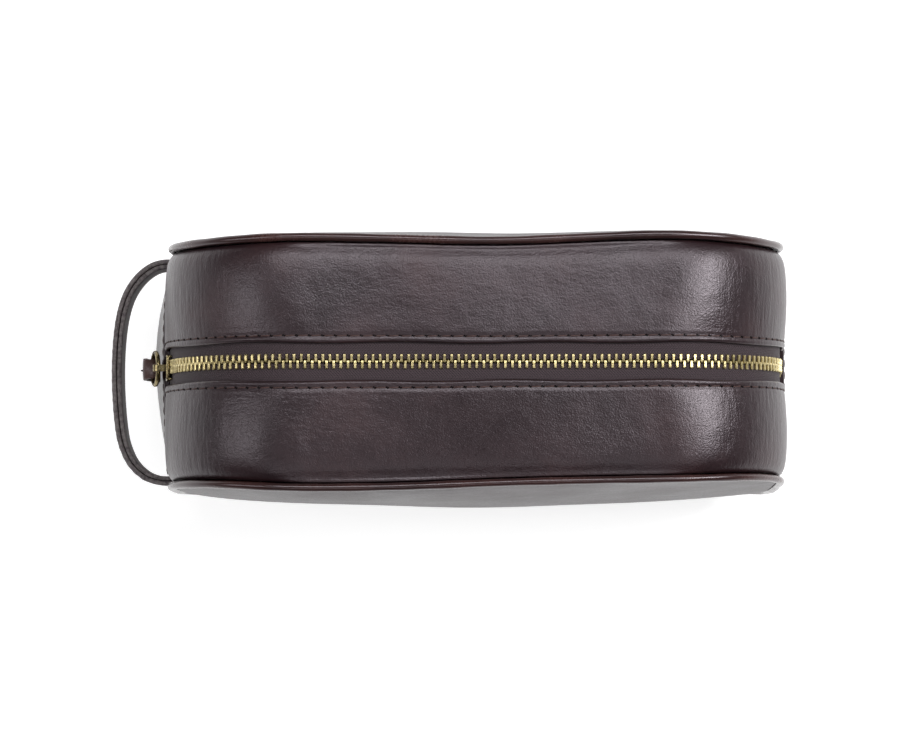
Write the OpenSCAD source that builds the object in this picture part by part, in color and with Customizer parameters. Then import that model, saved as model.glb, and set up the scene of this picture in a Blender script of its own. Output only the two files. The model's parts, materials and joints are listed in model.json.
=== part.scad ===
// Shaving kit bag: a framed-edge leather wash bag with piped front and back
// panels, a gusset that carries a metal zip over the top and down both ends,
// a rigid base board, a fabric lining with a slip pocket, and a two-layer
// carrying loop sewn into the left end.
//
// Axes: +X along the zip to the right, +Y to the back, +Z up.
// Origin: centre of the flat base, on the surface the bag stands on.
// The zip is closed and the slider is parked at the left end.

/* [Body] */

// Length over the end walls [mm]
body_length = 246; // [220:1:270]
// Height from the base to the top [mm]
body_height = 150; // [130:1:165]
// Width of the gusset between the two piped seams [mm]
gusset_width = 92.6; // [80:0.1:105]
// Radius of the left top corner [mm]
corner_left = 58; // [45:1:62]
// Radius of the right top corner [mm]
corner_right = 50; // [45:1:62]
// Radius of both bottom corners [mm]
corner_base = 36; // [25:1:42]
// Thickness of the gusset leather [mm]
gusset_skin = 2; // [1.6:0.1:2]

/* [Panels and piping] */

// Thickness of the panel leather [mm]
panel_skin = 1.7; // [1.4:0.1:1.7]
// How far the middle of a panel swells past its edge [mm]
panel_bulge = 6.8; // [3:0.1:9]
// Radius of the piping over its cord [mm]
piping_radius = 1.6; // [1.3:0.05:1.6]
// Radius of the cord inside the piping [mm]
cord_radius = 0.95; // [0.6:0.05:0.95]
// Height at which the soft top bends open [mm]
flex_height = 106; // [104:1:112]

/* [Zip] */

// Spacing of the teeth on one side [mm]
tooth_pitch = 2.76; // [2.4:0.02:3.2]
// Tooth length along the zip [mm]
tooth_length = 1.25; // [1:0.05:1.35]
// Half of the opening between the two leather edges [mm]
zip_half_gap = 7.3; // [6.6:0.1:9]
// Width of one tape [mm]
tape_width = 14.3; // [12:0.1:16]
// Height at which both ends of the zip stop [mm]
zip_end = 80; // [78:1:84]

/* [Slider and pull] */

// Length of the slider along the zip [mm]
slider_length = 12; // [10:0.1:13]
// Width of the slider [mm]
slider_width = 10.4; // [10:0.1:11]
// How far the slider is parked past the end of the left corner [deg]
slider_park = 4; // [4:0.5:5]
// Radius of the pull ring to the middle of its wire [mm]
ring_radius = 6.4; // [6:0.1:6.6]
// Radius of the ring wire [mm]
ring_wire = 0.95; // [0.8:0.05:0.95]
// Width of the leather pull tab [mm]
tab_width = 9.2; // [7:0.1:9.4]
// Length of the pull tab below the ring [mm]
tab_length = 22.6; // [18:0.1:22.6]

/* [Carrying loop] */

// Width of the strap [mm]
strap_width = 20; // [16:0.5:20]
// Height of the middle of the strap [mm]
strap_height = 50; // [45:1:52]
// How far the loop stands out from the end wall [mm]
loop_reach = 26.6; // [24:0.1:28]
// Half of the width over the two legs [mm]
loop_half_width = 46.6; // [44:0.1:46.6]
// Thickness of the outer strap layer [mm]
strap_outer = 2; // [1.5:0.1:2]
// Thickness of the inner strap layer [mm]
strap_inner = 1.8; // [1.4:0.1:1.8]

/* [Base and lining] */

// Thickness of the base board [mm]
board_thickness = 1.8; // [1.2:0.1:1.8]
// Thickness of the lining [mm]
lining_skin = 0.6; // [0.4:0.05:0.6]
// Height of the slip pocket [mm]
pocket_height = 70; // [50:1:80]
// Width of the slip pocket [mm]
pocket_width = 160; // [100:1:170]

/* [Hidden] */

$fn = 96;
half_l = body_length / 2;
half_g = gusset_width / 2;
// centres of the corner arcs, as [x, z]
c_tl = [-half_l + corner_left, body_height - corner_left];
c_tr = [half_l - corner_right, body_height - corner_right];
c_br = [half_l - corner_base, corner_base];
c_bl = [-half_l + corner_base, corner_base];
// depths below the leather surface
tape_top = gusset_skin + 0.1;
tape_bottom = tape_top + 0.7;
tooth_top = tape_top - 0.95;
tooth_bottom = tape_bottom + 0.95;
tooth_mid = (tape_top + tape_bottom) / 2;
lining_top = gusset_skin + 2;
lining_bottom = lining_top + lining_skin;
tape_in = 1.7;
tape_out = tape_in + tape_width;
tooth_in = 0.65;
tooth_out = 3.15;
// piping and panels
bead_y = half_g + 0.2 + piping_radius;
bead_d = piping_radius + 0.2;
panel_d = bead_d + piping_radius + 0.1;
panel_y = half_g + 2.3;
flex_gap = 0.3;
z_low = flex_height - flex_gap;
z_high = flex_height + flex_gap;
// lining
lining_y1 = half_g - 0.7;
lining_y0 = lining_y1 - lining_skin;
lining_edge = 12;
// zip path at tooth depth, measured from the left end
r_l = corner_left - tooth_mid;
r_r = corner_right - tooth_mid;
s1 = c_tl[1] - zip_end;
s2 = s1 + r_l * PI / 2;
s3 = s2 + c_tr[0] - c_tl[0];
s4 = s3 + r_r * PI / 2;
s5 = s4 + c_tr[1] - zip_end;
s_first = 4.6;
s_last = s5 - 5;
// slider
plate_out = [-0.65, tooth_top - 0.4];
plate_in = [tooth_bottom + 0.4, tooth_bottom + 1.7];
flange_in = tooth_out + 0.35;
crown_half = 1.5;
eye_d = -3.6;
eye_radius = ring_wire + 0.5;
eye_x = c_tl[0] - (corner_left - eye_d) * cos(slider_park);
eye_z = c_tl[1] + (corner_left - eye_d) * sin(slider_park);
ring_lean = 15;
pull_x = eye_x - 2 * ring_radius * sin(ring_lean);
pull_z = eye_z - 2 * ring_radius * cos(ring_lean);
// loop
loop_x = -half_l;
swing_radius = strap_width / 2;

// ---------------------------------------------------------------- shapes

// Pushes a drawn x, z shape through y0 to y1.
module across(y0, y1) {
  translate([0, y1, 0]) rotate([90, 0, 0]) linear_extrude(y1 - y0) children();
}

// Everything between two heights.
module slab(z0, z1) {
  translate([-half_l - 5, -half_g - 20, z0]) cube([body_length + 10, gusset_width + 40, z1 - z0]);
}

// One corner of a wall, from angle a0 (0 to the right and 90 up).
module wall_corner(c, r, d0, d1, y0, y1, a0) {
  translate([c[0], 0, c[1]]) rotate([90, 0, 0]) rotate([0, 0, a0])
    rotate_extrude(angle = 90)
      translate([r - d1, -y1]) square([d1 - d0, y1 - y0]);
}

// A band of the wall between depths d0 and d1 and heights z0 and z1.
module band(d0, d1, y0, y1, z0, z1) {
  t = d1 - d0;
  w = y1 - y0;
  intersection() {
    union() {
      wall_corner(c_tl, corner_left, d0, d1, y0, y1, 90);
      wall_corner(c_tr, corner_right, d0, d1, y0, y1, 0);
      wall_corner(c_br, corner_base, d0, d1, y0, y1, 270);
      wall_corner(c_bl, corner_base, d0, d1, y0, y1, 180);
      translate([c_tl[0], y0, body_height - d1]) cube([c_tr[0] - c_tl[0], w, t]);
      translate([c_bl[0], y0, d0]) cube([c_br[0] - c_bl[0], w, t]);
      translate([-half_l + d0, y0, c_bl[1]]) cube([t, w, c_tl[1] - c_bl[1]]);
      translate([half_l - d1, y0, c_br[1]]) cube([t, w, c_tr[1] - c_br[1]]);
    }
    slab(z0, z1);
  }
}

// A flat sheet inside the outline, taken in by d, between two heights.
module sheet(d, y0, y1, z0, z1) {
  intersection() {
    union() {
      across(y0, y1) translate(c_tl) circle(r = corner_left - d);
      across(y0, y1) translate(c_tr) circle(r = corner_right - d);
      across(y0, y1) translate(c_br) circle(r = corner_base - d);
      across(y0, y1) translate(c_bl) circle(r = corner_base - d);
      across(y0, y1) polygon([
        [-half_l + d, c_tl[1]], [c_tl[0], body_height - d],
        [c_tr[0], body_height - d], [half_l - d, c_tr[1]],
        [half_l - d, c_br[1]], [c_br[0], d],
        [c_bl[0], d], [-half_l + d, c_bl[1]]
      ]);
    }
    slab(z0, z1);
  }
}

// The front half as drawn, or the same mirrored to the back.
module side(s) {
  if (s > 0) mirror([0, 1, 0]) children();
  else children();
}

// ---------------------------------------------------------------- gusset

module base_gusset() {
  color([0.23, 0.16, 0.16])
    band(0, gusset_skin, -half_g, half_g, -1, zip_end - 0.1);
}

module strip_ends(s) {
  color([0.25, 0.18, 0.17]) side(s)
    band(0, gusset_skin, -half_g, -zip_half_gap, zip_end + 0.1, z_low);
}

module zip_strip(s) {
  color([0.25, 0.18, 0.17]) side(s)
    band(0, gusset_skin, -half_g, -zip_half_gap, z_high, body_height + 1);
}

// ---------------------------------------------------------------- panels

function edge_left(z) =
  z > c_tl[1] ? c_tl[0] - sqrt(max(0, pow(corner_left - panel_d, 2) - pow(z - c_tl[1], 2))) :
  z < c_bl[1] ? c_bl[0] - sqrt(max(0, pow(corner_base - panel_d, 2) - pow(z - c_bl[1], 2))) :
  -half_l + panel_d;
function edge_right(z) =
  z > c_tr[1] ? c_tr[0] + sqrt(max(0, pow(corner_right - panel_d, 2) - pow(z - c_tr[1], 2))) :
  z < c_br[1] ? c_br[0] + sqrt(max(0, pow(corner_base - panel_d, 2) - pow(z - c_br[1], 2))) :
  half_l - panel_d;
function swell(s, z) =
  let (t = (z - panel_d) / (body_height - 2 * panel_d))
  panel_bulge * pow(max(0, 4 * s * (1 - s)), 0.7) * pow(max(0, 4 * t * (1 - t)), 0.7);

// A swelled sheet over the given heights, with cols strips across.
module panel_skin_between(heights, cols) {
  n = len(heights);
  w = cols + 1;
  pts = [
    for (k = [0, 1]) for (j = [0 : n - 1]) for (i = [0 : cols])
      let (
        s = (1 - cos(180 * i / cols)) / 2,
        z = heights[j],
        x = edge_left(z) + s * (edge_right(z) - edge_left(z))
      ) [x, -panel_y - swell(s, z) + k * panel_skin, z]
  ];
  m = n * w;
  faces = concat(
    [for (j = [0 : n - 2]) for (i = [0 : cols - 1]) [j * w + i, (j + 1) * w + i, (j + 1) * w + i + 1]],
    [for (j = [0 : n - 2]) for (i = [0 : cols - 1]) [j * w + i, (j + 1) * w + i + 1, j * w + i + 1]],
    [for (j = [0 : n - 2]) for (i = [0 : cols - 1]) [m + j * w + i, m + (j + 1) * w + i + 1, m + (j + 1) * w + i]],
    [for (j = [0 : n - 2]) for (i = [0 : cols - 1]) [m + j * w + i, m + j * w + i + 1, m + (j + 1) * w + i + 1]],
    [for (i = [0 : cols - 1]) [i, i + 1, m + i + 1]],
    [for (i = [0 : cols - 1]) [i, m + i + 1, m + i]],
    [for (i = [0 : cols - 1]) [(n - 1) * w + i, m + (n - 1) * w + i + 1, (n - 1) * w + i + 1]],
    [for (i = [0 : cols - 1]) [(n - 1) * w + i, m + (n - 1) * w + i, m + (n - 1) * w + i + 1]],
    [for (j = [0 : n - 2]) [j * w, m + (j + 1) * w, (j + 1) * w]],
    [for (j = [0 : n - 2]) [j * w, m + j * w, m + (j + 1) * w]],
    [for (j = [0 : n - 2]) [j * w + cols, (j + 1) * w + cols, m + (j + 1) * w + cols]],
    [for (j = [0 : n - 2]) [j * w + cols, m + (j + 1) * w + cols, m + j * w + cols]]
  );
  polyhedron(points = pts, faces = faces, convexity = 6);
}

module panel_lower(s) {
  rows = 10;
  color([0.21, 0.15, 0.15]) side(s)
    panel_skin_between([
      for (j = [0 : rows]) panel_d + (z_low - panel_d) * (1 - cos(90 * j / rows))
    ], 16);
}

module panel_upper(s) {
  rows = 7;
  color([0.21, 0.15, 0.15]) side(s)
    panel_skin_between([
      for (j = [0 : rows]) z_high + (body_height - panel_d - z_high) * sin(90 * j / rows)
    ], 16);
}

// ---------------------------------------------------------------- piping

// Quarter-turn or part of one about a corner centre, from angle a0 to a1
// (degrees, 0 to the right and 90 up). The end at a0 is the exact one, so a
// straight run joins there, and a mirrored bend serves the other side.
module bend(c, r, a0, a1, wire, core) {
  translate([c[0], 0, c[1]]) rotate([90, 0, 0])
    rotate([0, 0, a0]) rotate_extrude(angle = a1 - a0)
      translate([r, 0]) difference() {
        circle(r = wire);
        if (core > 0) circle(r = core);
      }
}

// Straight run between two points, given as [x, z].
module run(p, q, wire, core) {
  len_pq = norm([q[0] - p[0], q[1] - p[1]]);
  translate([p[0], 0, p[1]])
    rotate([0, 90 - atan2(q[1] - p[1], q[0] - p[0]), 0])
      difference() {
        cylinder(r = wire, h = len_pq);
        if (core > 0) translate([0, 0, -1]) cylinder(r = core, h = len_pq + 2);
      }
}

// angles at which the bead is cut for the soft fold, and half of that cut
cut_l = round(10 * asin((flex_height - c_tl[1]) / (corner_left - bead_d))) / 10;
cut_r = round(10 * asin((flex_height - c_tr[1]) / (corner_right - bead_d))) / 10;
nick = 0.4;

module bead_lower(s, wire, core) {
  side(s) translate([0, -bead_y, 0]) {
    mirror([1, 0, 0]) bend([-c_tl[0], c_tl[1]], corner_left - bead_d, 0, cut_l - nick, wire, core);
    run([-half_l + bead_d, c_bl[1]], [-half_l + bead_d, c_tl[1]], wire, core);
    bend(c_bl, corner_base - bead_d, 180, 270, wire, core);
    run([c_bl[0], bead_d], [c_br[0], bead_d], wire, core);
    bend(c_br, corner_base - bead_d, 270, 360, wire, core);
    run([half_l - bead_d, c_br[1]], [half_l - bead_d, c_tr[1]], wire, core);
    bend(c_tr, corner_right - bead_d, 0, cut_r - nick, wire, core);
  }
}

module bead_upper(s, wire, core) {
  side(s) translate([0, -bead_y, 0]) {
    bend(c_tl, corner_left - bead_d, 90, 180 - cut_l - nick, wire, core);
    run([c_tl[0], body_height - bead_d], [c_tr[0], body_height - bead_d], wire, core);
    mirror([1, 0, 0]) bend([-c_tr[0], c_tr[1]], corner_right - bead_d, 90, 180 - cut_r - nick, wire, core);
  }
}

module piping_lower(s) { color([0.3, 0.16, 0.14]) bead_lower(s, piping_radius, cord_radius + 0.1); }
module piping_upper(s) { color([0.3, 0.16, 0.14]) bead_upper(s, piping_radius, cord_radius + 0.1); }
module cord_lower(s) { color([0.8, 0.78, 0.72]) bead_lower(s, cord_radius, 0); }
module cord_upper(s) { color([0.8, 0.78, 0.72]) bead_upper(s, cord_radius, 0); }

// ---------------------------------------------------------------- zip

module tape_ends(s) {
  color([0.2, 0.13, 0.15]) side(s)
    band(tape_top, tape_bottom, -tape_out, -tape_in, zip_end - 4, z_low);
}

module tape(s) {
  color([0.2, 0.13, 0.15]) side(s)
    band(tape_top, tape_bottom, -tape_out, -tape_in, z_high, body_height + 1);
}

// Puts a part drawn at the origin, x along the zip and z outward, at a
// distance along the zip.
module at_zip(p) {
  if (p < s1)
    translate([-half_l, 0, zip_end + p]) rotate([0, -90, 0]) children();
  else if (p < s2)
    translate([c_tl[0], 0, c_tl[1]]) rotate([0, (p - s1) / r_l * 180 / PI - 90, 0])
      translate([0, 0, corner_left]) children();
  else if (p < s3)
    translate([c_tl[0] + p - s2, 0, body_height]) children();
  else if (p < s4)
    translate([c_tr[0], 0, c_tr[1]]) rotate([0, (p - s3) / r_r * 180 / PI, 0])
      translate([0, 0, corner_right]) children();
  else
    translate([half_l, 0, c_tr[1] - (p - s4)]) rotate([0, 90, 0]) children();
}

function zip_z(p) =
  p < s1 ? zip_end + p :
  p < s2 ? c_tl[1] + r_l * sin((p - s1) / r_l * 180 / PI) :
  p < s3 ? body_height :
  p < s4 ? c_tr[1] + r_r * cos((p - s3) / r_r * 180 / PI) :
  c_tr[1] - (p - s4);

// One tooth clamped on the edge of the tape.
module tooth() {
  translate([-tooth_length / 2, 0, 0]) rotate([90, 0, 90])
    linear_extrude(tooth_length) polygon([
      [-tooth_in, -tooth_top], [-tooth_out, -tooth_top],
      [-tooth_out, -tape_top + 0.05], [-tape_in + 0.05, -tape_top + 0.05],
      [-tape_in + 0.05, -tape_bottom - 0.05], [-tooth_out, -tape_bottom - 0.05],
      [-tooth_out, -tooth_bottom], [-tooth_in, -tooth_bottom]
    ]);
}

tooth_count = floor((s_last - s_first) / tooth_pitch);
module teeth_where(s, upper) {
  side(s)
    for (i = [0 : tooth_count]) {
      p = s_first + (i + (s > 0 ? 0.5 : 0)) * tooth_pitch;
      z = zip_z(p);
      if (p < s_last && ((upper && z > z_high + 0.9) || (!upper && z < z_low - 0.9)))
        at_zip(p) tooth();
    }
}

module teeth_ends(s) { color([0.72, 0.62, 0.4]) teeth_where(s, false); }
module teeth(s) { color([0.72, 0.62, 0.4]) teeth_where(s, true); }

// Small clamps above the last teeth, one on each tape.
module top_stops() {
  color([0.72, 0.62, 0.4])
    for (s = [-1, 1]) side(s) at_zip(1.9)
      translate([-1.2, 0, 0]) rotate([90, 0, 90])
        linear_extrude(2.4) polygon([
          [-tooth_in, -tooth_top], [-tooth_out, -tooth_top],
          [-tooth_out, -tape_top + 0.05], [-tape_in + 0.05, -tape_top + 0.05],
          [-tape_in + 0.05, -tape_bottom - 0.05], [-tooth_out, -tape_bottom - 0.05],
          [-tooth_out, -tooth_bottom], [-tooth_in, -tooth_bottom]
        ]);
}

// One clamp across both tapes at the other end.
module bottom_stop() {
  color([0.72, 0.62, 0.4])
    at_zip(s5 - 2.2) translate([-1.5, 0, 0]) rotate([90, 0, 90])
      linear_extrude(3) polygon([
        [-tooth_out, -tooth_top], [tooth_out, -tooth_top],
        [tooth_out, -tape_top + 0.05], [tape_in - 0.05, -tape_top + 0.05],
        [tape_in - 0.05, -tape_bottom - 0.05], [tooth_out, -tape_bottom - 0.05],
        [tooth_out, -tooth_bottom], [-tooth_out, -tooth_bottom],
        [-tooth_out, -tape_bottom - 0.05], [-tape_in + 0.05, -tape_bottom - 0.05],
        [-tape_in + 0.05, -tape_top + 0.05], [-tooth_out, -tape_top + 0.05]
      ]);
}

// ---------------------------------------------------------------- base and lining

module base_board() {
  color([0.6, 0.5, 0.38])
    translate([c_bl[0] + 1, -half_g + 1.5, gusset_skin + 0.1])
      cube([c_br[0] - c_bl[0] - 2, gusset_width - 3, board_thickness]);
}

module gusset_lining() {
  color([0.62, 0.52, 0.4])
    difference() {
      band(lining_top, lining_bottom, -lining_y0 + 0.1, lining_y0 - 0.1, -1, z_low);
      translate([-half_l - 1, -lining_edge, zip_end - 6])
        cube([body_length + 2, 2 * lining_edge, body_height]);
    }
}

module lining_lower(s) {
  color([0.62, 0.52, 0.4]) side(s)
    sheet(lining_top, -lining_y1, -lining_y0, -1, z_low);
}

module lining_upper(s) {
  color([0.62, 0.52, 0.4]) side(s) {
    sheet(lining_top, -lining_y1, -lining_y0, z_high, body_height + 1);
    band(lining_top, lining_bottom, -lining_y0 - 0.05, -lining_edge, z_high, body_height + 1);
  }
}

module slip_pocket() {
  color([0.55, 0.45, 0.34])
    translate([-pocket_width / 2, lining_y0 - 0.9, 20])
      cube([pocket_width, 0.8, pocket_height - 4]);
}

module pocket_binding() {
  color([0.24, 0.17, 0.17])
    translate([-pocket_width / 2, lining_y0 - 1.3, 20 + pocket_height - 3.9])
      cube([pocket_width, 1.2, 6]);
}

// ---------------------------------------------------------------- slider

// A piece of ring about the left corner, inside the slider's length.
module slider_arc(d0, d1, y0, y1, half_len) {
  a = half_len / (corner_left - tooth_mid) * 180 / PI;
  translate([c_tl[0], 0, c_tl[1]]) rotate([0, slider_park, 0])
    across(y0, y1) intersection() {
      difference() {
        circle(r = corner_left - d0);
        circle(r = corner_left - d1);
      }
      polygon([
        [0, 0], [-90 * cos(a), 90 * sin(a)], [-90, 0], [-90 * cos(a), -90 * sin(a)]
      ]);
    }
}

module slider_body() {
  hl = slider_length / 2;
  hw = slider_width / 2;
  color([0.76, 0.66, 0.42]) {
    // outer plate with its two lips
    slider_arc(plate_out[0], plate_out[1], -hw, hw, hl);
    slider_arc(plate_out[1] - 0.2, tape_top - 0.35, -hw, -flange_in, hl);
    slider_arc(plate_out[1] - 0.2, tape_top - 0.35, flange_in, hw, hl);
    // inner plate with its two lips
    slider_arc(plate_in[0], plate_in[1], -hw, hw, hl);
    slider_arc(tape_bottom + 0.35, plate_in[0] + 0.2, -hw, -flange_in, hl);
    slider_arc(tape_bottom + 0.35, plate_in[0] + 0.2, flange_in, hw, hl);
    // post between the plates
    slider_arc(plate_out[1] - 0.2, plate_in[0] + 0.2, -0.3, 0.3, 3.4);
  }
}

module slider_crown() {
  color([0.76, 0.66, 0.42])
    translate([c_tl[0], 0, c_tl[1]]) rotate([0, slider_park, 0])
      across(-crown_half, crown_half)
        difference() {
          union() {
            translate([-corner_left + eye_d, 0]) circle(r = eye_radius + 0.85);
            translate([-corner_left + eye_d, -2.3])
              square([-eye_d + plate_out[0] - 0.15, 4.6]);
          }
          translate([-corner_left + eye_d, 0]) circle(r = eye_radius);
        }
}

module pull_ring() {
  color([0.76, 0.66, 0.42])
    translate([eye_x, 0, eye_z]) rotate([0, ring_lean, 0])
      translate([0, 0, -ring_radius]) rotate([0, 90, 0])
        rotate_extrude() translate([ring_radius, 0]) circle(r = ring_wire, $fn = 48);
}

module pull_tab() {
  fold = 2.7;
  under = 1.7;
  color([0.27, 0.18, 0.17])
    translate([pull_x, 0, pull_z]) difference() {
      union() {
        across(-tab_width / 2, tab_width / 2) circle(r = fold);
        across(-tab_width / 2, tab_width / 2) polygon([
          [-fold, 0], [fold, 0], [under, -6], [under, -tab_length],
          [-under, -tab_length], [-under, -6]
        ]);
      }
      across(-tab_width / 2 - 1, tab_width / 2 + 1) circle(r = ring_wire + 0.45);
      // room for the curve of the ring as the tab swings on it
      rotate([90, 0, 0]) rotate([0, 0, 30]) rotate_extrude(angle = 165)
        intersection() {
          difference() {
            translate([ring_radius, 0]) circle(r = ring_radius + ring_wire + 0.35);
            translate([ring_radius, 0]) circle(r = ring_radius - ring_wire - 0.35);
          }
          translate([0, -5.5]) square([6, 11]);
        }
    }
}

// ---------------------------------------------------------------- carrying loop

// Plan of the loop: a flat strap bent out from the end wall and back.
module loop_plan(d0, d1) {
  r = loop_reach;
  cy = loop_half_width - r;
  difference() {
    union() {
      for (s = [-1, 1]) translate([loop_x, s * cy]) circle(r = r - d0);
      translate([loop_x - r + d0, -cy]) square([2 * (r - d0), 2 * cy]);
    }
    union() {
      for (s = [-1, 1]) translate([loop_x, s * cy]) circle(r = r - d1);
      translate([loop_x - r + d1, -cy]) square([2 * (r - d1), 2 * cy]);
    }
    translate([loop_x - 0.1, -60]) square([80, 120]);
  }
}

module loop_strap(d0, d1) {
  translate([0, 0, strap_height - strap_width / 2])
    linear_extrude(strap_width) loop_plan(d0, d1);
}

module swing_disc(r) {
  translate([loop_x, 60, strap_height]) rotate([90, 0, 0]) cylinder(r = r, h = 120);
}

module handle_end(s) {
  color([0.25, 0.17, 0.16])
    intersection() {
      loop_strap(0, strap_outer + strap_inner);
      swing_disc(swing_radius);
      translate([loop_x - 20, s > 0 ? 10 : -60, 0]) cube([40, 50, 100]);
    }
}

module handle_strap(d0, d1) {
  difference() {
    loop_strap(d0, d1);
    swing_disc(swing_radius + 0.3);
    translate([loop_x - 6.1, -60, 0]) cube([20, 120, 100]);
  }
}

module handle_outer_strap() { color([0.25, 0.17, 0.16]) handle_strap(0, strap_outer); }
module handle_inner_strap() { color([0.3, 0.2, 0.18]) handle_strap(strap_outer + 0.05, strap_outer + strap_inner); }

// ---------------------------------------------------------------- nodes

base_gusset();
strip_ends(-1);  // front_strip_ends
strip_ends(1);  // back_strip_ends
panel_lower(-1);  // front_panel_lower
panel_lower(1);  // back_panel_lower
piping_lower(-1);  // front_piping_lower
piping_lower(1);  // back_piping_lower
cord_lower(-1);  // front_cord_lower
cord_lower(1);  // back_cord_lower
tape_ends(-1);  // front_tape_ends
tape_ends(1);  // back_tape_ends
teeth_ends(-1);  // front_teeth_ends
teeth_ends(1);  // back_teeth_ends
top_stops();
bottom_stop();
base_board();
gusset_lining();
lining_lower(-1);  // front_lining_lower
lining_lower(1);  // back_lining_lower
slip_pocket();
pocket_binding();
handle_end(-1);  // handle_end_front
handle_end(1);  // handle_end_back
zip_strip(-1);  // front_zip_strip
panel_upper(-1);  // front_panel_upper
piping_upper(-1);  // front_piping_upper
cord_upper(-1);  // front_cord_upper
tape(-1);  // front_tape
teeth(-1);  // front_teeth
lining_upper(-1);  // front_lining_upper
zip_strip(1);  // back_zip_strip
panel_upper(1);  // back_panel_upper
piping_upper(1);  // back_piping_upper
cord_upper(1);  // back_cord_upper
tape(1);  // back_tape
teeth(1);  // back_teeth
lining_upper(1);  // back_lining_upper
slider_body();
slider_crown();
pull_ring();
pull_tab();
handle_outer_strap();
handle_inner_strap();
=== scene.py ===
import json
import math

import bmesh
import bpy
import numpy as np
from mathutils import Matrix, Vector


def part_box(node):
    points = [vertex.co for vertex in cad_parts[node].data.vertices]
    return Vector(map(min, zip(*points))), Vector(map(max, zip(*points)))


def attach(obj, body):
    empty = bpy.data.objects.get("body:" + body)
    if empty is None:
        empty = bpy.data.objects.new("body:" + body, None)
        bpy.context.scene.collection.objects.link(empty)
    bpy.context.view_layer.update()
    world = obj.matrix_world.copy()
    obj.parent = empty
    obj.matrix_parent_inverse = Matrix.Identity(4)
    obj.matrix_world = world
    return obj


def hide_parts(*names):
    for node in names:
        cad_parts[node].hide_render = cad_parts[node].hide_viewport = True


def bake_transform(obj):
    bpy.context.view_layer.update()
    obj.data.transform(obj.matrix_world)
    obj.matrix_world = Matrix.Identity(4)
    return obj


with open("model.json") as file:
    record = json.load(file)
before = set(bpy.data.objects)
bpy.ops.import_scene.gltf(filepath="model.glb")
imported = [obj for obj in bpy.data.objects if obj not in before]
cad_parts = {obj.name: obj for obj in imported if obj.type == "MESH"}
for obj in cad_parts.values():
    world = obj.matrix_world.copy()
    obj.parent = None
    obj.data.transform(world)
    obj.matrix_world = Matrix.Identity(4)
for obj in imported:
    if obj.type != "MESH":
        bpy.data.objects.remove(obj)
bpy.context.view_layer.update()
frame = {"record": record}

MM = 0.001

# ---------------------------------------------------------------- sizes, in mm, from the CAD frame
HL, HG, ZE = (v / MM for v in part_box("base_gusset")[1])  # half length, half depth, height of the zip's ends
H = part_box("front_zip_strip")[1][2] / MM
R_TL, R_TR, R_B = 58.0, 50.0, 36.0  # corner radii: top left, top right, both at the base
C_TL = (-HL + R_TL, H - R_TL)
C_TR = (HL - R_TR, H - R_TR)
C_BR = (HL - R_B, R_B)
C_BL = (-HL + R_B, R_B)
BEAD = 1.6  # radius of the piping
BEAD_Y = HG + 1.8
BEAD_D = 1.8
GAP = 7.3  # from the middle of the zip to the edge of a strip
SEW = 2.7  # from that edge to its row of stitches
PITCH = 2.76  # of the teeth on one tape

# the outline of the side view, clockwise from the foot of the left wall: lengths at depth 0
SEG = [
    C_TL[1] - C_BL[1], R_TL * math.pi / 2, C_TR[0] - C_TL[0], R_TR * math.pi / 2,
    C_TR[1] - C_BR[1], R_B * math.pi / 2, C_BR[0] - C_BL[0], R_B * math.pi / 2,
]
CUM = np.concatenate([[0.0], np.cumsum(SEG)])
LOOP = float(CUM[-1])


# the corners among those eight parts: centre, radius and the angle at which each starts
CORNERS = {
    1: (C_TL, R_TL, np.pi), 3: (C_TR, R_TR, np.pi / 2), 5: (C_BR, R_B, 0.0), 7: (C_BL, R_B, -np.pi / 2),
}


def loop(u, d):
    """x and z at distance u round the outline, d under its surface. Arrays or numbers."""
    u = np.mod(np.asarray(u, float), LOOP)
    u, d = np.broadcast_arrays(u, np.asarray(d, float))
    x = np.zeros(u.shape)
    z = np.zeros(u.shape)
    for k in range(8):
        m = (u >= CUM[k]) & (u <= CUM[k + 1])
        t = u[m] - CUM[k]
        e = d[m]
        if k in CORNERS:
            c, r, start = CORNERS[k]
            a = start - t / r
            x[m], z[m] = c[0] + (r - e) * np.cos(a), c[1] + (r - e) * np.sin(a)
        elif k == 0:
            x[m], z[m] = -HL + e, C_BL[1] + t
        elif k == 2:
            x[m], z[m] = C_TL[0] + t, H - e
        elif k == 4:
            x[m], z[m] = HL - e, C_TR[1] - t
        else:
            x[m], z[m] = C_BR[0] - t, e
    return x, z


U_END_L = ZE - C_BL[1]
U_END_R = CUM[4] + (C_TR[1] - ZE)


# ---------------------------------------------------------------- how the soft shell leaves the CAD outline
def smooth_table(points, sigma=12.0, lo=-170.0, hi=170.0):
    """A table of values at each mm, rounded off between the given points."""
    xs = np.arange(lo, hi + 1.0)
    ys = np.interp(xs, [p[0] for p in points], [p[1] for p in points])
    k = np.exp(-0.5 * (np.arange(-40, 41) / sigma) ** 2)
    k /= k.sum()
    ys = np.convolve(np.pad(ys, 40, mode="edge"), k, mode="valid")
    return xs, ys


# half depth of the bag at its front and back seams along x, and how far the end walls stand out over z
FRONT = smooth_table([
    (-130, 46.6), (-106, 46.4), (-72, 48.6), (-29, 48.0), (9, 46.3), (48, 45.4), (86, 44.8), (112, 43.6),
    (130, 44.6),
])
BACK = smooth_table([
    (-130, 46.8), (-106, 47.6), (-72, 48.9), (-30, 48.0), (9, 46.9), (73, 50.0), (100, 48.8), (130, 46.6),
])
WALL_Z = smooth_table([
    (-20, 0), (0, 0.0), (10, 1.0), (25, 4.2), (42, 6.2), (62, 4.3), (80, 2.0), (96, 0.6), (112, 0.1),
    (150, 0),
], 4.0)


def step(t):
    """A smooth step from 0 at t = 0 to 1 at t = 1."""
    t = np.clip(t, 0, 1)
    return t * t * (3 - 2 * t)


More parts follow.
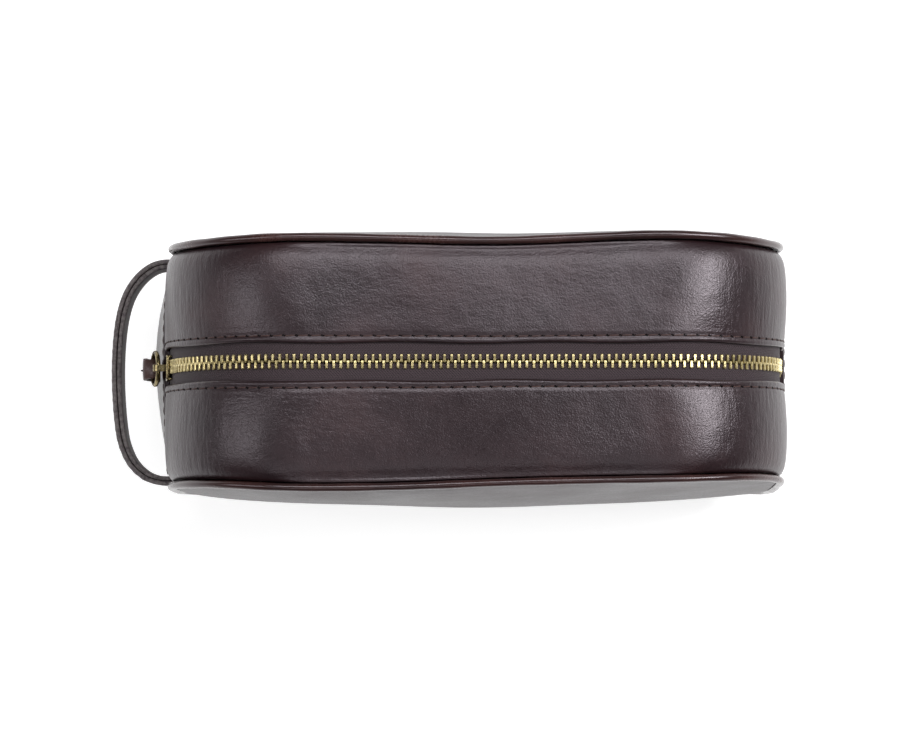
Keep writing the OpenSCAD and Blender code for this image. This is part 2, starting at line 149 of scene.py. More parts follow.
def warp(p):
    """The common deformation of the whole soft shell, in mm."""
    p = np.array(p, float).reshape(-1, 3)
    x, y, z = p[:, 0].copy(), p[:, 1].copy(), p[:, 2].copy()
    w = step((z - 52) / 82)
    f = np.interp(x, *FRONT) / BEAD_Y - 1
    b = np.interp(x, *BACK) / BEAD_Y - 1
    y2 = y * (1 + np.where(y < 0, f, b) * w)
    y2 = y2 + 0.45 * np.exp(-((y / 11.0) ** 2)) * w
    across = np.clip(1 - (y / (HG + 0.4)) ** 2, 0, 1) ** np.where(x < 0, 0.7, 0.45)
    left = step((-x - 88) / 34)
    right = step((x - 88) / 34)
    bulge = np.interp(z, *WALL_Z)
    belly = 2.3 * np.exp(-(((z - 38) / 14) ** 2))
    x2 = x - left * (bulge + belly) * across * (1 + 0.12 * np.sin(y / 17 + 0.6))
    x2 = x2 + right * bulge * 0.62 * across * (1 + 0.15 * np.sin(y / 15 + 2.0))
    top = step((z - 96) / 50)
    # the top dips a little between its ends, and rolls gently
    dz = -1.3 * np.clip(1 - ((x - 8) / 112) ** 2, 0, 1)
    dz = dz + 0.42 * np.sin(x / 24 + 0.8 + y / 60) + 0.24 * np.sin(x / 11.5 + 2.1) * np.sin(y / 19 + 0.7)
    z2 = z + top * dz
    return np.stack([x2, y2, z2], 1)


def shell(u, d, y):
    """Points on the soft shell: round the outline, under the surface and across."""
    x, z = loop(u, d)
    x, y, z = np.broadcast_arrays(x, np.asarray(y, float), z)
    return warp(np.stack([x.ravel(), y.ravel(), z.ravel()], 1)).reshape(x.shape + (3,))


# ---------------------------------------------------------------- materials
def nodes_of(name):
    """A new material, its node tree and its shader."""
    m = bpy.data.materials.new(name)
    m.use_nodes = True
    nt = m.node_tree
    bsdf = nt.nodes["Principled BSDF"]
    return m, nt, bsdf


def coord(nt, kind, scale=(1, 1, 1), rot=(0, 0, 0)):
    """Texture coordinates, scaled and turned."""
    tc = nt.nodes.new("ShaderNodeTexCoord")
    mp = nt.nodes.new("ShaderNodeMapping")
    mp.inputs["Scale"].default_value = scale
    mp.inputs["Rotation"].default_value = rot
    nt.links.new(tc.outputs[kind], mp.inputs["Vector"])
    return mp.outputs["Vector"]


def noise(nt, vec, scale, detail=3.0, rough=0.5):
    """Cloudy noise."""
    n = nt.nodes.new("ShaderNodeTexNoise")
    n.inputs["Scale"].default_value = scale
    n.inputs["Detail"].default_value = detail
    n.inputs["Roughness"].default_value = rough
    nt.links.new(vec, n.inputs["Vector"])
    return n.outputs["Fac"]


def ramp(nt, fac, stops):
    """A colour ramp through the stops."""
    r = nt.nodes.new("ShaderNodeValToRGB")
    el = r.color_ramp.elements
    while len(el) > len(stops):
        el.remove(el[-1])
    while len(el) < len(stops):
        el.new(1.0)
    for e, (pos, col) in zip(el, stops):
        e.position = pos
        e.color = (col[0], col[1], col[2], 1.0)
    nt.links.new(fac, r.inputs["Fac"])
    return r.outputs["Color"]


def math_node(nt, op, a, b=0.0, c=0.0):
    """One sum on sockets or numbers."""
    n = nt.nodes.new("ShaderNodeMath")
    n.operation = op
    for i, v in enumerate((a, b, c)):
        if isinstance(v, (int, float)):
            n.inputs[i].default_value = v
        else:
            nt.links.new(v, n.inputs[i])
    return n.outputs["Value"]


def bump(nt, height, distance, strength=1.0, prev=None):
    """A bump of the given height, on top of an earlier one if there is one."""
    b = nt.nodes.new("ShaderNodeBump")
    b.inputs["Distance"].default_value = distance
    b.inputs["Strength"].default_value = strength
    nt.links.new(height, b.inputs["Height"])
    if prev is not None:
        nt.links.new(prev, b.inputs["Normal"])
    return b.outputs["Normal"]


def leather(name, dark, mid, light, rough=0.4, grain=1600.0, depth=0.00007, coat=0.15, spec=0.5,
            crease=0.0, dents=0.0009):
    """Grained leather: pebbled cells with fine pores, drifting colour, dents and, if asked for, creases."""
    m, nt, bsdf = nodes_of(name)
    vec = coord(nt, "Object")
    wide = noise(nt, vec, 28.0, 4.0, 0.55)
    fine = noise(nt, vec, 900.0, 3.0, 0.6)
    mix = math_node(nt, "ADD", math_node(nt, "MULTIPLY", wide, 0.75), math_node(nt, "MULTIPLY", fine, 0.25))
    col = ramp(nt, mix, [(0.30, dark), (0.52, mid), (0.74, light)])
    nt.links.new(col, bsdf.inputs["Base Color"])
    vor = nt.nodes.new("ShaderNodeTexVoronoi")
    vor.feature = "SMOOTH_F1"
    vor.inputs["Scale"].default_value = grain
    vor.inputs["Smoothness"].default_value = 0.45
    wob = nt.nodes.new("ShaderNodeTexNoise")
    wob.inputs["Scale"].default_value = 420.0
    nt.links.new(vec, wob.inputs["Vector"])
    add = nt.nodes.new("ShaderNodeVectorMath")
    add.operation = "MULTIPLY_ADD"
    add.inputs[1].default_value = (0.0009, 0.0009, 0.0009)
    nt.links.new(wob.outputs["Color"], add.inputs[0])
    nt.links.new(vec, add.inputs[2])
    nt.links.new(add.outputs["Vector"], vor.inputs["Vector"])
    cells = math_node(nt, "SUBTRACT", 1.0, vor.outputs["Distance"])
    pores = noise(nt, vec, 2600.0, 2.0, 0.6)
    rolls = noise(nt, vec, 120.0, 3.0, 0.5)
    n1 = bump(nt, rolls, dents, 0.35)
    if crease:
        # fine creases: across the strip where it bends round the ends, along it elsewhere
        sep = nt.nodes.new("ShaderNodeSeparateXYZ")
        nt.links.new(vec, sep.inputs["Vector"])
        reach = math_node(nt, "ABSOLUTE", sep.outputs["X"])
        reach = math_node(nt, "MULTIPLY", reach, 8.0)
        ends = ramp(nt, reach, [(0.62, (0.0, 0.0, 0.0)), (0.86, (1.0, 1.0, 1.0))])
        across = noise(nt, coord(nt, "Object", (620.0, 110.0, 620.0)), 1.0, 4.0, 0.55)
        along = noise(nt, coord(nt, "Object", (190.0, 520.0, 190.0), (0.0, 0.0, 0.35)), 1.0, 4.0, 0.6)
        patch = ramp(nt, noise(nt, vec, 22.0, 2.0), [(0.46, (0.05, 0.05, 0.05)), (0.66, (0.7, 0.7, 0.7))])
        across = math_node(nt, "MULTIPLY", across, ends)
        along = math_node(nt, "MULTIPLY", along, patch)
        n1 = bump(nt, math_node(nt, "ADD", across, along), crease, 0.8, n1)
    n2 = bump(nt, cells, depth, 1.0, n1)
    n3 = bump(nt, pores, depth * 0.5, 0.8, n2)
    nt.links.new(n3, bsdf.inputs["Normal"])
    rr = math_node(nt, "MULTIPLY_ADD", wide, 0.22, rough - 0.11)
    rr = math_node(nt, "MULTIPLY_ADD", fine, 0.14, math_node(nt, "SUBTRACT", rr, 0.07))
    nt.links.new(rr, bsdf.inputs["Roughness"])
    bsdf.inputs["Specular IOR Level"].default_value = spec
    bsdf.inputs["Specular Tint"].default_value = (1.0, 0.90, 0.98, 1.0)
    bsdf.inputs["Coat Weight"].default_value = coat
    bsdf.inputs["Coat Roughness"].default_value = 0.34
    return m


def brass(name, base, dark, rough=0.3):
    """Antique brass: dark in patches, with a fine tumbled surface."""
    m, nt, bsdf = nodes_of(name)
    vec = coord(nt, "Object")
    n = noise(nt, vec, 380.0, 4.0, 0.6)
    col = ramp(nt, n, [(0.34, dark), (0.58, base)])
    nt.links.new(col, bsdf.inputs["Base Color"])
    bsdf.inputs["Metallic"].default_value = 1.0
    nt.links.new(math_node(nt, "MULTIPLY_ADD", n, 0.22, rough - 0.08), bsdf.inputs["Roughness"])
    s = noise(nt, vec, 1800.0, 3.0, 0.6)
    nt.links.new(bump(nt, s, 0.00002, 0.7), bsdf.inputs["Normal"])
    return m


def uv_waves(nt):
    """The UV distances of a piece, and a function that makes ribs of a given pitch from either."""
    tc = nt.nodes.new("ShaderNodeTexCoord")
    sep = nt.nodes.new("ShaderNodeSeparateXYZ")
    nt.links.new(tc.outputs["UV"], sep.inputs["Vector"])

    def ribs(value, pitch):
        return math_node(nt, "SINE", math_node(nt, "MULTIPLY", value, 2 * math.pi / pitch))

    return sep.outputs["X"], sep.outputs["Y"], ribs


def twill(name, dark, light, pitch=0.0011, rough=0.75):
    """Woven tape: herringbone ribs drawn from the tape's own lengthwise and crosswise distance."""
    m, nt, bsdf = nodes_of(name)
    x, y, ribs = uv_waves(nt)
    along = math_node(nt, "ADD", x, math_node(nt, "PINGPONG", y, 0.0026))  # width of one herringbone row
    rib, yarn = ribs(along, pitch), ribs(y, pitch * 0.62)
    h = math_node(nt, "ADD", math_node(nt, "MULTIPLY", rib, 0.6), math_node(nt, "MULTIPLY", yarn, 0.25))
    vec = coord(nt, "Object")
    fuzz = noise(nt, vec, 3000.0, 2.0, 0.7)
    h = math_node(nt, "ADD", h, math_node(nt, "MULTIPLY", fuzz, 0.5))
    col = ramp(nt, math_node(nt, "MULTIPLY_ADD", h, 0.4, 0.4), [(0.15, dark), (0.8, light)])
    nt.links.new(col, bsdf.inputs["Base Color"])
    nt.links.new(bump(nt, h, 0.00009, 1.0), bsdf.inputs["Normal"])
    bsdf.inputs["Roughness"].default_value = rough
    bsdf.inputs["Sheen Weight"].default_value = 0.06
    bsdf.inputs["Sheen Roughness"].default_value = 0.5
    return m


def cloth(name, dark, light, pitch=0.0007, rough=0.85):
    """Plain woven cotton with slubs."""
    m, nt, bsdf = nodes_of(name)
    x, y, ribs = uv_waves(nt)
    h = math_node(nt, "MULTIPLY", ribs(x, pitch), ribs(y, pitch))
    vec = coord(nt, "Object")
    slub = noise(nt, vec, 240.0, 3.0, 0.6)
    h = math_node(nt, "MULTIPLY_ADD", h, 0.18, 0.2)
    v = math_node(nt, "ADD", h, math_node(nt, "MULTIPLY", slub, 0.6))
    nt.links.new(ramp(nt, v, [(0.25, dark), (0.75, light)]), bsdf.inputs["Base Color"])
    nt.links.new(bump(nt, v, 0.00008, 1.0), bsdf.inputs["Normal"])
    bsdf.inputs["Roughness"].default_value = rough
    bsdf.inputs["Sheen Weight"].default_value = 0.2
    return m


def plain(name, dark, light, scale=600.0, rough=0.7, depth=0.00003, spec=0.5):
    """A matt stuff of two mottled shades, such as thread, raw edges or card."""
    m, nt, bsdf = nodes_of(name)
    vec = coord(nt, "Object")
    n = noise(nt, vec, scale, 4.0, 0.6)
    nt.links.new(ramp(nt, n, [(0.35, dark), (0.65, light)]), bsdf.inputs["Base Color"])
    nt.links.new(bump(nt, n, depth, 1.0), bsdf.inputs["Normal"])
    bsdf.inputs["Roughness"].default_value = rough
    bsdf.inputs["Specular IOR Level"].default_value = spec
    return m


M_GUSSET = leather(
    "gusset_leather", (0.0075, 0.0034, 0.0042), (0.0150, 0.0066, 0.0078), (0.0300, 0.0135, 0.0140),
    0.335, crease=0.00034,
)
M_PANEL = leather(
    "panel_leather", (0.0070, 0.0032, 0.0040), (0.0145, 0.0063, 0.0074), (0.0290, 0.0130, 0.0135),
    0.40, coat=0.0, spec=0.40,
)
M_PIPING = leather(
    "piping_leather", (0.010, 0.0034, 0.0031), (0.024, 0.0078, 0.0066), (0.052, 0.018, 0.014),
    0.24, 1900.0, 0.00001, 0.35, dents=0.0003,
)
M_STRAP = leather(
    "strap_leather", (0.016, 0.0090, 0.0095), (0.032, 0.0185, 0.0190), (0.056, 0.034, 0.033),
    0.38, 1900.0, 0.00004, 0.2,
)
M_STRAP_IN = leather(
    "strap_backing", (0.040, 0.028, 0.026), (0.078, 0.058, 0.053), (0.135, 0.105, 0.095),
    0.66, 1100.0, 0.00012, 0.0,
)
M_PULL = leather(
    "pull_leather", (0.024, 0.011, 0.010), (0.046, 0.022, 0.019), (0.080, 0.042, 0.034),
    0.42, 1900.0, 0.00004, 0.15,
)
M_BINDING = leather(
    "binding_leather", (0.018, 0.011, 0.011), (0.034, 0.020, 0.019), (0.056, 0.034, 0.031), 0.45,
)
M_EDGE = plain("strap_raw_edge", (0.085, 0.073, 0.076), (0.205, 0.183, 0.182), 700.0, 0.8, 0.00008, 0.3)
M_TAPE = twill("zip_tape", (0.0042, 0.0021, 0.0030), (0.038, 0.0185, 0.0255))
M_TEETH = brass("antique_brass_teeth", (0.54, 0.455, 0.24), (0.36, 0.295, 0.14), 0.33)
M_SLIDER = brass("antique_brass_slider", (0.33, 0.27, 0.14), (0.085, 0.062, 0.030), 0.22)
M_THREAD = plain("stitch_thread", (0.022, 0.008, 0.007), (0.060, 0.022, 0.018), 2500.0, 0.6, 0.00005)
# near-black painted shade, used for the needle holes and for the groove between the strap's two layers
M_PAINTED_SHADE = plain("hole_and_groove_painted_shade", (0.003, 0.002, 0.002), (0.006, 0.004, 0.004), 900.0, 0.9, 0.00001, 0.1)
M_LINING = cloth("lining_cotton", (0.15, 0.105, 0.062), (0.36, 0.26, 0.17))
M_POCKET = cloth("pocket_cotton", (0.12, 0.082, 0.048), (0.30, 0.21, 0.135))
M_CORD = cloth("piping_cord", (0.42, 0.38, 0.30), (0.66, 0.62, 0.53), 0.0009)
M_BOARD = plain("base_card", (0.16, 0.115, 0.07), (0.30, 0.23, 0.155), 420.0, 0.9, 0.0001, 0.2)


# ---------------------------------------------------------------- mesh helpers
def make(name, verts, faces, mats, uvs=None, slots=None, fix=True):
    """A mesh object from points in mm."""
    me = bpy.data.meshes.new(name)
    v = np.asarray(verts, float).reshape(-1, 3) * MM
    me.from_pydata([tuple(a) for a in v], [], [tuple(int(i) for i in f) for f in faces])
    for m in mats:
        me.materials.append(m)
    if slots is not None:
        for p, s in zip(me.polygons, slots):
            p.material_index = int(s)
    if uvs is not None:
        layer = me.uv_layers.new(name="UVMap")
        uv = np.asarray(uvs, float).reshape(-1, 2) * MM
        idx = np.zeros(len(me.loops), int)
        me.loops.foreach_get("vertex_index", idx)
        layer.data.foreach_set("uv", uv[idx].ravel())
    if fix:
        bm = bmesh.new()
        bm.from_mesh(me)
        bmesh.ops.recalc_face_normals(bm, faces=bm.faces)
        bm.to_mesh(me)
        bm.free()
    me.polygons.foreach_set("use_smooth", [True] * len(me.polygons))
    ob = bpy.data.objects.new(name, me)
    bpy.context.scene.collection.objects.link(ob)
    return ob


def grid_faces(n, m, close_n=False, close_m=False, base=0):
    """Faces of a grid of n rows of m points, open or closed each way."""
    out = []
    for i in range(n if close_n else n - 1):
        for j in range(m if close_m else m - 1):
            a = base + i * m + j
            b = base + i * m + (j + 1) % m
            c = base + ((i + 1) % n) * m + (j + 1) % m
            d = base + ((i + 1) % n) * m + j
            out.append((a, b, c, d))
    return out


def sweep(name, pts, mats, uvs=None, close_n=False):
    """A closed cross-section carried along a path: pts is stations x section x 3."""
    n, m = pts.shape[:2]
    faces = grid_faces(n, m, close_n, True)
    if not close_n:
        faces.append(tuple(range(m)))
        faces.append(tuple(range((n - 1) * m, n * m)))
    return make(name, pts, faces, mats, uvs)


def sharp(ob, angle=40):
    """Smooth shading with hard edges past an angle."""
    me = ob.data
    bm = bmesh.new()
    bm.from_mesh(me)
    lim = math.radians(angle)
    for e in bm.edges:
        if len(e.link_faces) == 2 and e.calc_face_angle(0) > lim:
            e.smooth = False
    bm.to_mesh(me)
    bm.free()
    return ob


def put(ob, body, nodes=()):
    """Parent a piece to the empty of its body, or for the front, back and loop bake its transform instead, and
    hide the CAD nodes that it stands for.
    """
    if body == "front" or body == "back":
        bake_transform(ob)
    elif body == "loop":
        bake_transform(ob)
    else:
        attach(ob, body)
    if nodes:
        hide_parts(*nodes)
    return ob


def stations(u0, u1, straight=3.0, bend=2.0):
    """Distances round the outline, closer together on the bends."""
    marks = [u0] + [c for c in CUM if u0 < c < u1] + [u1]
    out = []
    for a, b in zip(marks[:-1], marks[1:]):
        mid = (a + b) / 2
        k = int(np.searchsorted(CUM, mid % LOOP, side="right") - 1)
        s = bend if k in (1, 3, 5, 7) else straight
        n = max(2, int(math.ceil((b - a) / s)))
        out += list(np.linspace(a, b, n, endpoint=False))
    return np.array(out + [u1])


def band_uvs(us, across):
    """UVs in mm: the distance along the band and the distance across it."""
    return np.stack([np.repeat(us[:, None], len(across), 1), np.tile(across, (len(us), 1))], 2)


def run_of(points):
    """Distance along a line of points."""
    return np.concatenate([[0], np.cumsum(np.linalg.norm(np.diff(points, axis=0), axis=1))])


def strip(name, u0, u1, profile, mats, sign=1, straight=3.0, bend=2.0, vary=None):
    """A band along the outline with the given (y, d) section."""
    us = stations(u0, u1, straight, bend)
    prof = np.array(profile, float)
    y = np.tile(prof[:, 0] * sign, (len(us), 1))
    d = np.tile(prof[:, 1], (len(us), 1))
    if vary is not None:
        y, d = vary(us[:, None], y, d)
    uvs = band_uvs(us, run_of(prof))
    return sweep(name, shell(uvs[..., 0], d, y), mats, uvs)


def join(parts):
    """Many (points, faces) as one."""
    V, F = [], []
    for p, f in parts:
        k = len(V)
        V += list(np.asarray(p).reshape(-1, 3))
        F += [tuple(a + k for a in q) for q in f]
    return V, F


def tube(name, path, radius, mats, sides=12, close=False, up=(0, 1, 0)):
    """A round wire along a path of points."""
    p = np.asarray(path, float)
    n = len(p)
    t = np.roll(p, -1, 0) - np.roll(p, 1, 0) if close else np.gradient(p, axis=0)
    t /= np.linalg.norm(t, axis=1)[:, None]
    a = np.cross(t, np.array(up, float))
    a /= np.maximum(np.linalg.norm(a, axis=1), 1e-9)[:, None]
    b = np.cross(t, a)
    ang = np.linspace(0, 2 * np.pi, sides, endpoint=False)
    r = np.broadcast_to(np.asarray(radius, float), (n,))
    around = np.cos(ang)[None, :, None] * a[:, None] + np.sin(ang)[None, :, None] * b[:, None]
    pts = p[:, None] + r[:, None, None] * around
    run = np.concatenate([[0], np.cumsum(np.linalg.norm(np.diff(p, axis=0), axis=1))])
    uvs = np.stack([np.repeat(run[:, None], sides, 1), np.tile(ang * 2, (n, 1))], 2)
    return sweep(name, pts, mats, uvs, close)


def capsule(a, b, r, ring=6, flat=0.75, normal=None):
    """Vertices and faces of one stitch lying from a to b, a little flattened along the normal."""
    a, b = np.array(a, float), np.array(b, float)
    t = b - a
    length = np.linalg.norm(t)
    t /= length
    n = np.array(normal, float)
    n -= t * (n @ t)
    n /= np.linalg.norm(n)
    s = np.cross(t, n)
    rows = [(0.0, 0.25, -0.30), (0.12, 0.8, 0.05), (0.5, 1.0, 0.25), (0.88, 0.8, 0.05), (1.0, 0.25, -0.30)]
    vs = []
    for f, k, lift in rows:
        c = a + t * (length * f) + n * (lift * r)
        for i in range(ring):
            w = 2 * math.pi * i / ring
            vs.append(c + s * (math.cos(w) * r * k) + n * (math.sin(w) * r * k * flat))
    fs = grid_faces(len(rows), ring, False, True)
    fs.append(tuple(range(ring)))
    fs.append(tuple(range((len(rows) - 1) * ring, len(rows) * ring)))
    return vs, fs


def needle_hole(c, n, r, along, sides=10):
    """A needle hole: a slit with a sunk lip, drawn out along the seam and slanted across it; its near-black
    colour is painted shade of the hole.
    """
    c, n = np.array(c, float), np.array(n, float)
    n /= np.linalg.norm(n)
    t = np.array(along, float)
    t -= n * (t @ n)
    t /= np.linalg.norm(t)
    side = np.cross(n, t)
    a = (t + 0.35 * side) * 1.7
    b = side
    turns = [2 * math.pi * i / sides for i in range(sides)]
    vs = [c + r * (math.cos(w) * a + math.sin(w) * b) for w in turns]
    lip = [c + 1.25 * r * (math.cos(w) * a + math.sin(w) * b) - n * 0.12 for w in turns]
    fs = [tuple(range(sides))]
    fs += [(i, (i + 1) % sides, sides + (i + 1) % sides, sides + i) for i in range(sides)]
    return vs + lip, fs


def stitches(name, ends, r=0.40, slit=0.30):
    """ends: list of (start, end, outward normal). Thread over the leather, and at each end a hole painted
    near-black as shade.
    """
    parts, slots = [], []
    for a, b, n in ends:
        parts.append(capsule(a, b, r, normal=n))
        slots += [0] * len(parts[-1][1])
        for q in (a, b):
            parts.append(needle_hole(np.array(q) + np.array(n) * 0.03, n, slit, np.array(b) - np.array(a)))
            slots += [1] * len(parts[-1][1])
    V, F = join(parts)
    return make(name, V, F, [M_THREAD, M_PAINTED_SHADE], slots=slots, fix=False)


def on_shell(u, d, y):
    """A point and the outward normal there."""
    around = np.array([u, u, u + 0.4, u - 0.4, u, u])
    under = np.array([d, d - 1.0, d, d, d, d])
    across = np.array([y, y, y, y, y + 0.4, y - 0.4])
    p = shell(around, under, across)
    t = p[2] - p[3]
    c = p[4] - p[5]
    n = np.cross(t, c)
    n /= np.linalg.norm(n)
    if n @ (p[1] - p[0]) < 0:
        n = -n
    return p[0], n


# ---------------------------------------------------------------- the gusset strips each side of the zip
def drape(us, y, d):
    """The strips fall from the zip to their seam along the top and fill out a little round the ends."""
    back = y > 0
    t = np.clip((np.abs(y) - 12.0) / (HG - 1.3 - 12.0), 0, 1)
    fall = np.where(back, t + 0.15 * t ** 3, t + 0.45 * t ** 5) * (1 - step((np.abs(y) - 44.3) / 1.9))
    drop = np.where(back, 1.5, 1.3) + 0.22 * np.sin(us / 31.0 + np.where(back, 0.4, 2.2))
    drop = drop + 0.12 * np.sin(us / 13.7 + np.where(back, 1.9, 0.1))
    top = step((us - CUM[2] + 22) / 26) * step((CUM[3] + 22 - us) / 26)
    middle = step((us - U_END_L) / 30) * step((U_END_R - us) / 30)
    edge = 0.28 * np.sin(us / 9.3 + np.where(back, 0.9, 2.4)) * np.exp(-((np.abs(y) - GAP) / 9.0) ** 2)
    return y + edge * middle, d + drop * fall * top - 0.9 * np.sin(np.pi * t) * middle * (1 - top)


# the turned edge at the zip with its stitched channel, the crown, and the roll into the piped seam
TOP = [
    (GAP + 0.75, 1.75), (GAP + 0.12, 1.35), (GAP, 0.85), (GAP + 0.2, 0.4), (GAP + 0.6, 0.12),
    (GAP + 1.1, 0.0), (GAP + 1.7, 0.08), (GAP + 2.2, 0.26), (GAP + SEW, 0.36), (GAP + 3.2, 0.28),
    (GAP + 3.9, 0.13), (GAP + 4.6, 0.04), (GAP + 5.3, 0.08), (GAP + 6.0, 0.03), (GAP + 7.2, 0.02),
    (18.5, 0.02), (22.0, 0.0), (26.0, 0.0), (30.0, 0.0), (34.0, 0.0), (37.5, 0.03), (40.2, 0.16),
    (42.3, 0.45), (43.9, 0.95), (45.0, 1.6), (45.8, 2.4), (46.25, 3.2),
]
UNDER = [(45.3, 3.3), (44.2, 2.8), (42.0, 2.3), (36.0, 2.0), (26.0, 2.0), (18.0, 2.0), (GAP + 4.0, 1.98)]
for side, sign in (("front", -1), ("back", 1)):
    ob = strip(side + "_zip_strip_leather", U_END_L + 0.4, U_END_R - 0.4, TOP + UNDER, [M_GUSSET],
               sign, 2.2, 1.8, drape)
    put(ob, side, [side + "_zip_strip", side + "_strip_ends"])

# the base gusset: one piece round the bottom, its two top edges turned over the ends of the strips
half = [46.25, 45.8, 45.0, 43.9, 42.3, 40.2, 37.0, 31.0, 24.0, 17.0, 10.0, 4.0]
yy = [-v for v in half] + [0.0] + half[::-1]
roll = [3.2, 2.4, 1.6, 0.95, 0.45, 0.16]
dd = roll + [0.0] * 13 + roll[::-1]
below = [(45.3, 3.3), (44.2, 2.8), (42.0, 2.3), (30.0, 2.0), (15.0, 2.0)]
prof = np.array(list(zip(yy, dd)) + below + [(0.0, 2.0)] + [(-a, b) for a, b in below[::-1]])


def turned(us, y, d):
    """The face of the base gusset rises and rolls over at its two ends."""
    turn = np.minimum(us - us[0], us[-1] - us)
    face = (np.arange(len(prof)) < len(yy))[None]
    return y, np.where(face, d - 0.55 * step(1 - turn / 9.0) + 0.5 * np.exp(-(turn / 0.5) ** 2), d)


ob = strip("base_gusset_leather", U_END_R - 1.6, LOOP + U_END_L + 1.6, prof, [M_GUSSET], vary=turned)
put(ob, "bag", ["base_gusset"])

# ---------------------------------------------------------------- piping and its cord
for side, sign in (("front", -1), ("back", 1)):
    us = stations(0, LOOP, 3.0, 2.0)[:-1]
    ang = np.linspace(0, 2 * np.pi, 16, endpoint=False)
    uneven = 1 + 0.035 * np.sin(us / 6.1) + 0.03 * np.sin(us / 2.9 + 1.0)
    yy = sign * (BEAD_Y + BEAD * uneven[:, None] * np.cos(ang)[None])
    dd = BEAD_D + BEAD * uneven[:, None] * np.sin(ang)[None]
    uv = band_uvs(us, ang * BEAD)
    pts = shell(uv[..., 0], dd, yy)
    pts[..., 2] = np.maximum(pts[..., 2], 0.05)
    ob = sweep(side + "_piping_leather", pts, [M_PIPING], uv, True)
    put(ob, side, [side + "_piping_lower", side + "_piping_upper"])
    ang = ang[::2]
    yy = np.tile(sign * (BEAD_Y + 0.9 * np.cos(ang)), (len(us), 1))
    dd = np.tile(BEAD_D + 0.9 * np.sin(ang), (len(us), 1))
    uv = band_uvs(us, ang)
    ob = sweep(side + "_piping_cord", shell(uv[..., 0], dd, yy), [M_CORD], uv, True)
    put(ob, side, [side + "_cord_lower", side + "_cord_upper"])


# ---------------------------------------------------------------- panels
RIM = 3.5  # from the outline to the rim of a panel


def corner_reach(r, dz):
    """How far the rim reaches sideways in a corner of radius r, dz from the corner's centre."""
    return np.sqrt(np.maximum(0, (r - RIM) ** 2 - dz ** 2))


def swell(x, z, sign):
    """How far a panel stands out past its edge."""
    t = np.clip((z - RIM) / (H - 2 * RIM), 0, 1)
    lim_l = np.where(z > C_TL[1], C_TL[0] - corner_reach(R_TL, z - C_TL[1]), -HL + RIM)
    lim_l = np.where(z < C_BL[1], C_BL[0] - corner_reach(R_B, z - C_BL[1]), lim_l)
    lim_r = np.where(z > C_TR[1], C_TR[0] + corner_reach(R_TR, z - C_TR[1]), HL - RIM)
    lim_r = np.where(z < C_BR[1], C_BR[0] + corner_reach(R_B, z - C_BR[1]), lim_r)
    s = np.clip((x - lim_l) / np.maximum(lim_r - lim_l, 1), 0, 1)
    body = np.maximum(4 * s * (1 - s), 0) ** 0.7 * np.maximum(4 * t * (1 - t), 0) ** 0.7
    lean = 1.0 - (0.14 if sign < 0 else -0.05) * x / 110.0 - 0.12 * (z - 75) / 75.0
    roll = 0.35 * np.sin(x / 27 + z / 41 + sign) + 0.25 * np.sin(x / 15 - z / 19 + 1.3 * sign)
    return body * (6.4 * lean + roll)


MID_Z = 75.0  # height of the middle of a panel


def disc_mesh(name, rows, mats, caps):
    """A sheet closed at its middle on both sides, from rings of points: rows is rings x stations x 3."""
    m, n = rows.shape[:2]
    pts = np.concatenate([warp(rows.reshape(-1, 3)), warp(caps)])
    faces = grid_faces(m, n, False, True)
    faces += [(j, (j + 1) % n, m * n) for j in range(n)]
    faces += [((m - 1) * n + (j + 1) % n, (m - 1) * n + j, m * n + 1) for j in range(n)]
    uvs = np.concatenate([rows.reshape(-1, 3)[:, [0, 2]], [[0, MID_Z], [0, MID_Z]]])
    return make(name, pts, faces, mats, uvs)


def panel_points(sign, rings, back):
    """Rings of points from the rim of a panel to its middle, on its face or its back."""
    us = stations(0, LOOP, 4.0, 2.6)[:-1]
    rx, rz = loop(us, 3.45)
    rows = []
    for r in rings:
        x = rx * r
        z = MID_Z + (rz - MID_Z) * r
        out = swell(x, z, sign) + 48.75
        edge = np.hypot((rx - x), (rz - z))
        out = out - 0.45 * np.exp(-(edge / 0.6) ** 2)
        if back:
            out = out - 1.7
        rows.append(np.stack([x, sign * out, z], 1))
    return np.array(rows)


for side, sign in (("front", -1), ("back", 1)):
    rings = [1.0, 0.995, 0.99, 0.982, 0.97, 0.95, 0.92, 0.88, 0.83]
    rings += [0.77, 0.70, 0.62, 0.53, 0.43, 0.32, 0.2, 0.08]
    outer = panel_points(sign, rings, False)
    inner = panel_points(sign, rings[::-1], True)
    rows = np.concatenate([outer[::-1], inner[::-1]])  # centre outwards on the face, then back in behind
    ob = disc_mesh(side + "_panel_leather", rows, [M_PANEL], [outer[-1].mean(0), inner[0].mean(0)])
    put(ob, side, [side + "_panel_lower", side + "_panel_upper"])

# ---------------------------------------------------------------- zip: tapes, teeth, stops
for side, sign in (("front", -1), ("back", 1)):
    sec = [
        (0.9, 2.20), (1.25, 2.02), (1.7, 2.06), (2.6, 2.1), (4.2, 2.1), (5.4, 2.08), (6.6, 2.1), (9.0, 2.14),
        (16.0, 2.16), (16.0, 2.74), (9.0, 2.76), (5.0, 2.78), (2.2, 2.80), (1.5, 2.86), (1.1, 2.9), (0.8, 2.55),
    ]
    ob = strip(side + "_zip_tape", U_END_L - 3.6, U_END_R + 3.6, sec, [M_TAPE], sign, 2.2, 1.8)
    put(ob, side, [side + "_tape", side + "_tape_ends"])

TD = 2.45  # depth of the middle of the teeth


# the five parts of the row of teeth: length, where it starts on the outline, and outline distance per mm
ROW = [
    (C_TL[1] - ZE, U_END_L, 1), ((R_TL - TD) * math.pi / 2, CUM[1], R_TL / (R_TL - TD)),
    (C_TR[0] - C_TL[0], CUM[2], 1), ((R_TR - TD) * math.pi / 2, CUM[3], R_TR / (R_TR - TD)),
    (C_TR[1] - ZE, CUM[4], 1),
]
S_ALL = sum(length for length, _, _ in ROW)


def along_teeth(p):
    """Distance round the outline for distance p along the row of teeth, from the left end."""
    for length, start, stretch in ROW:
        if p < length:
            break
        p -= length
    else:
        p += length
    return start + p * stretch


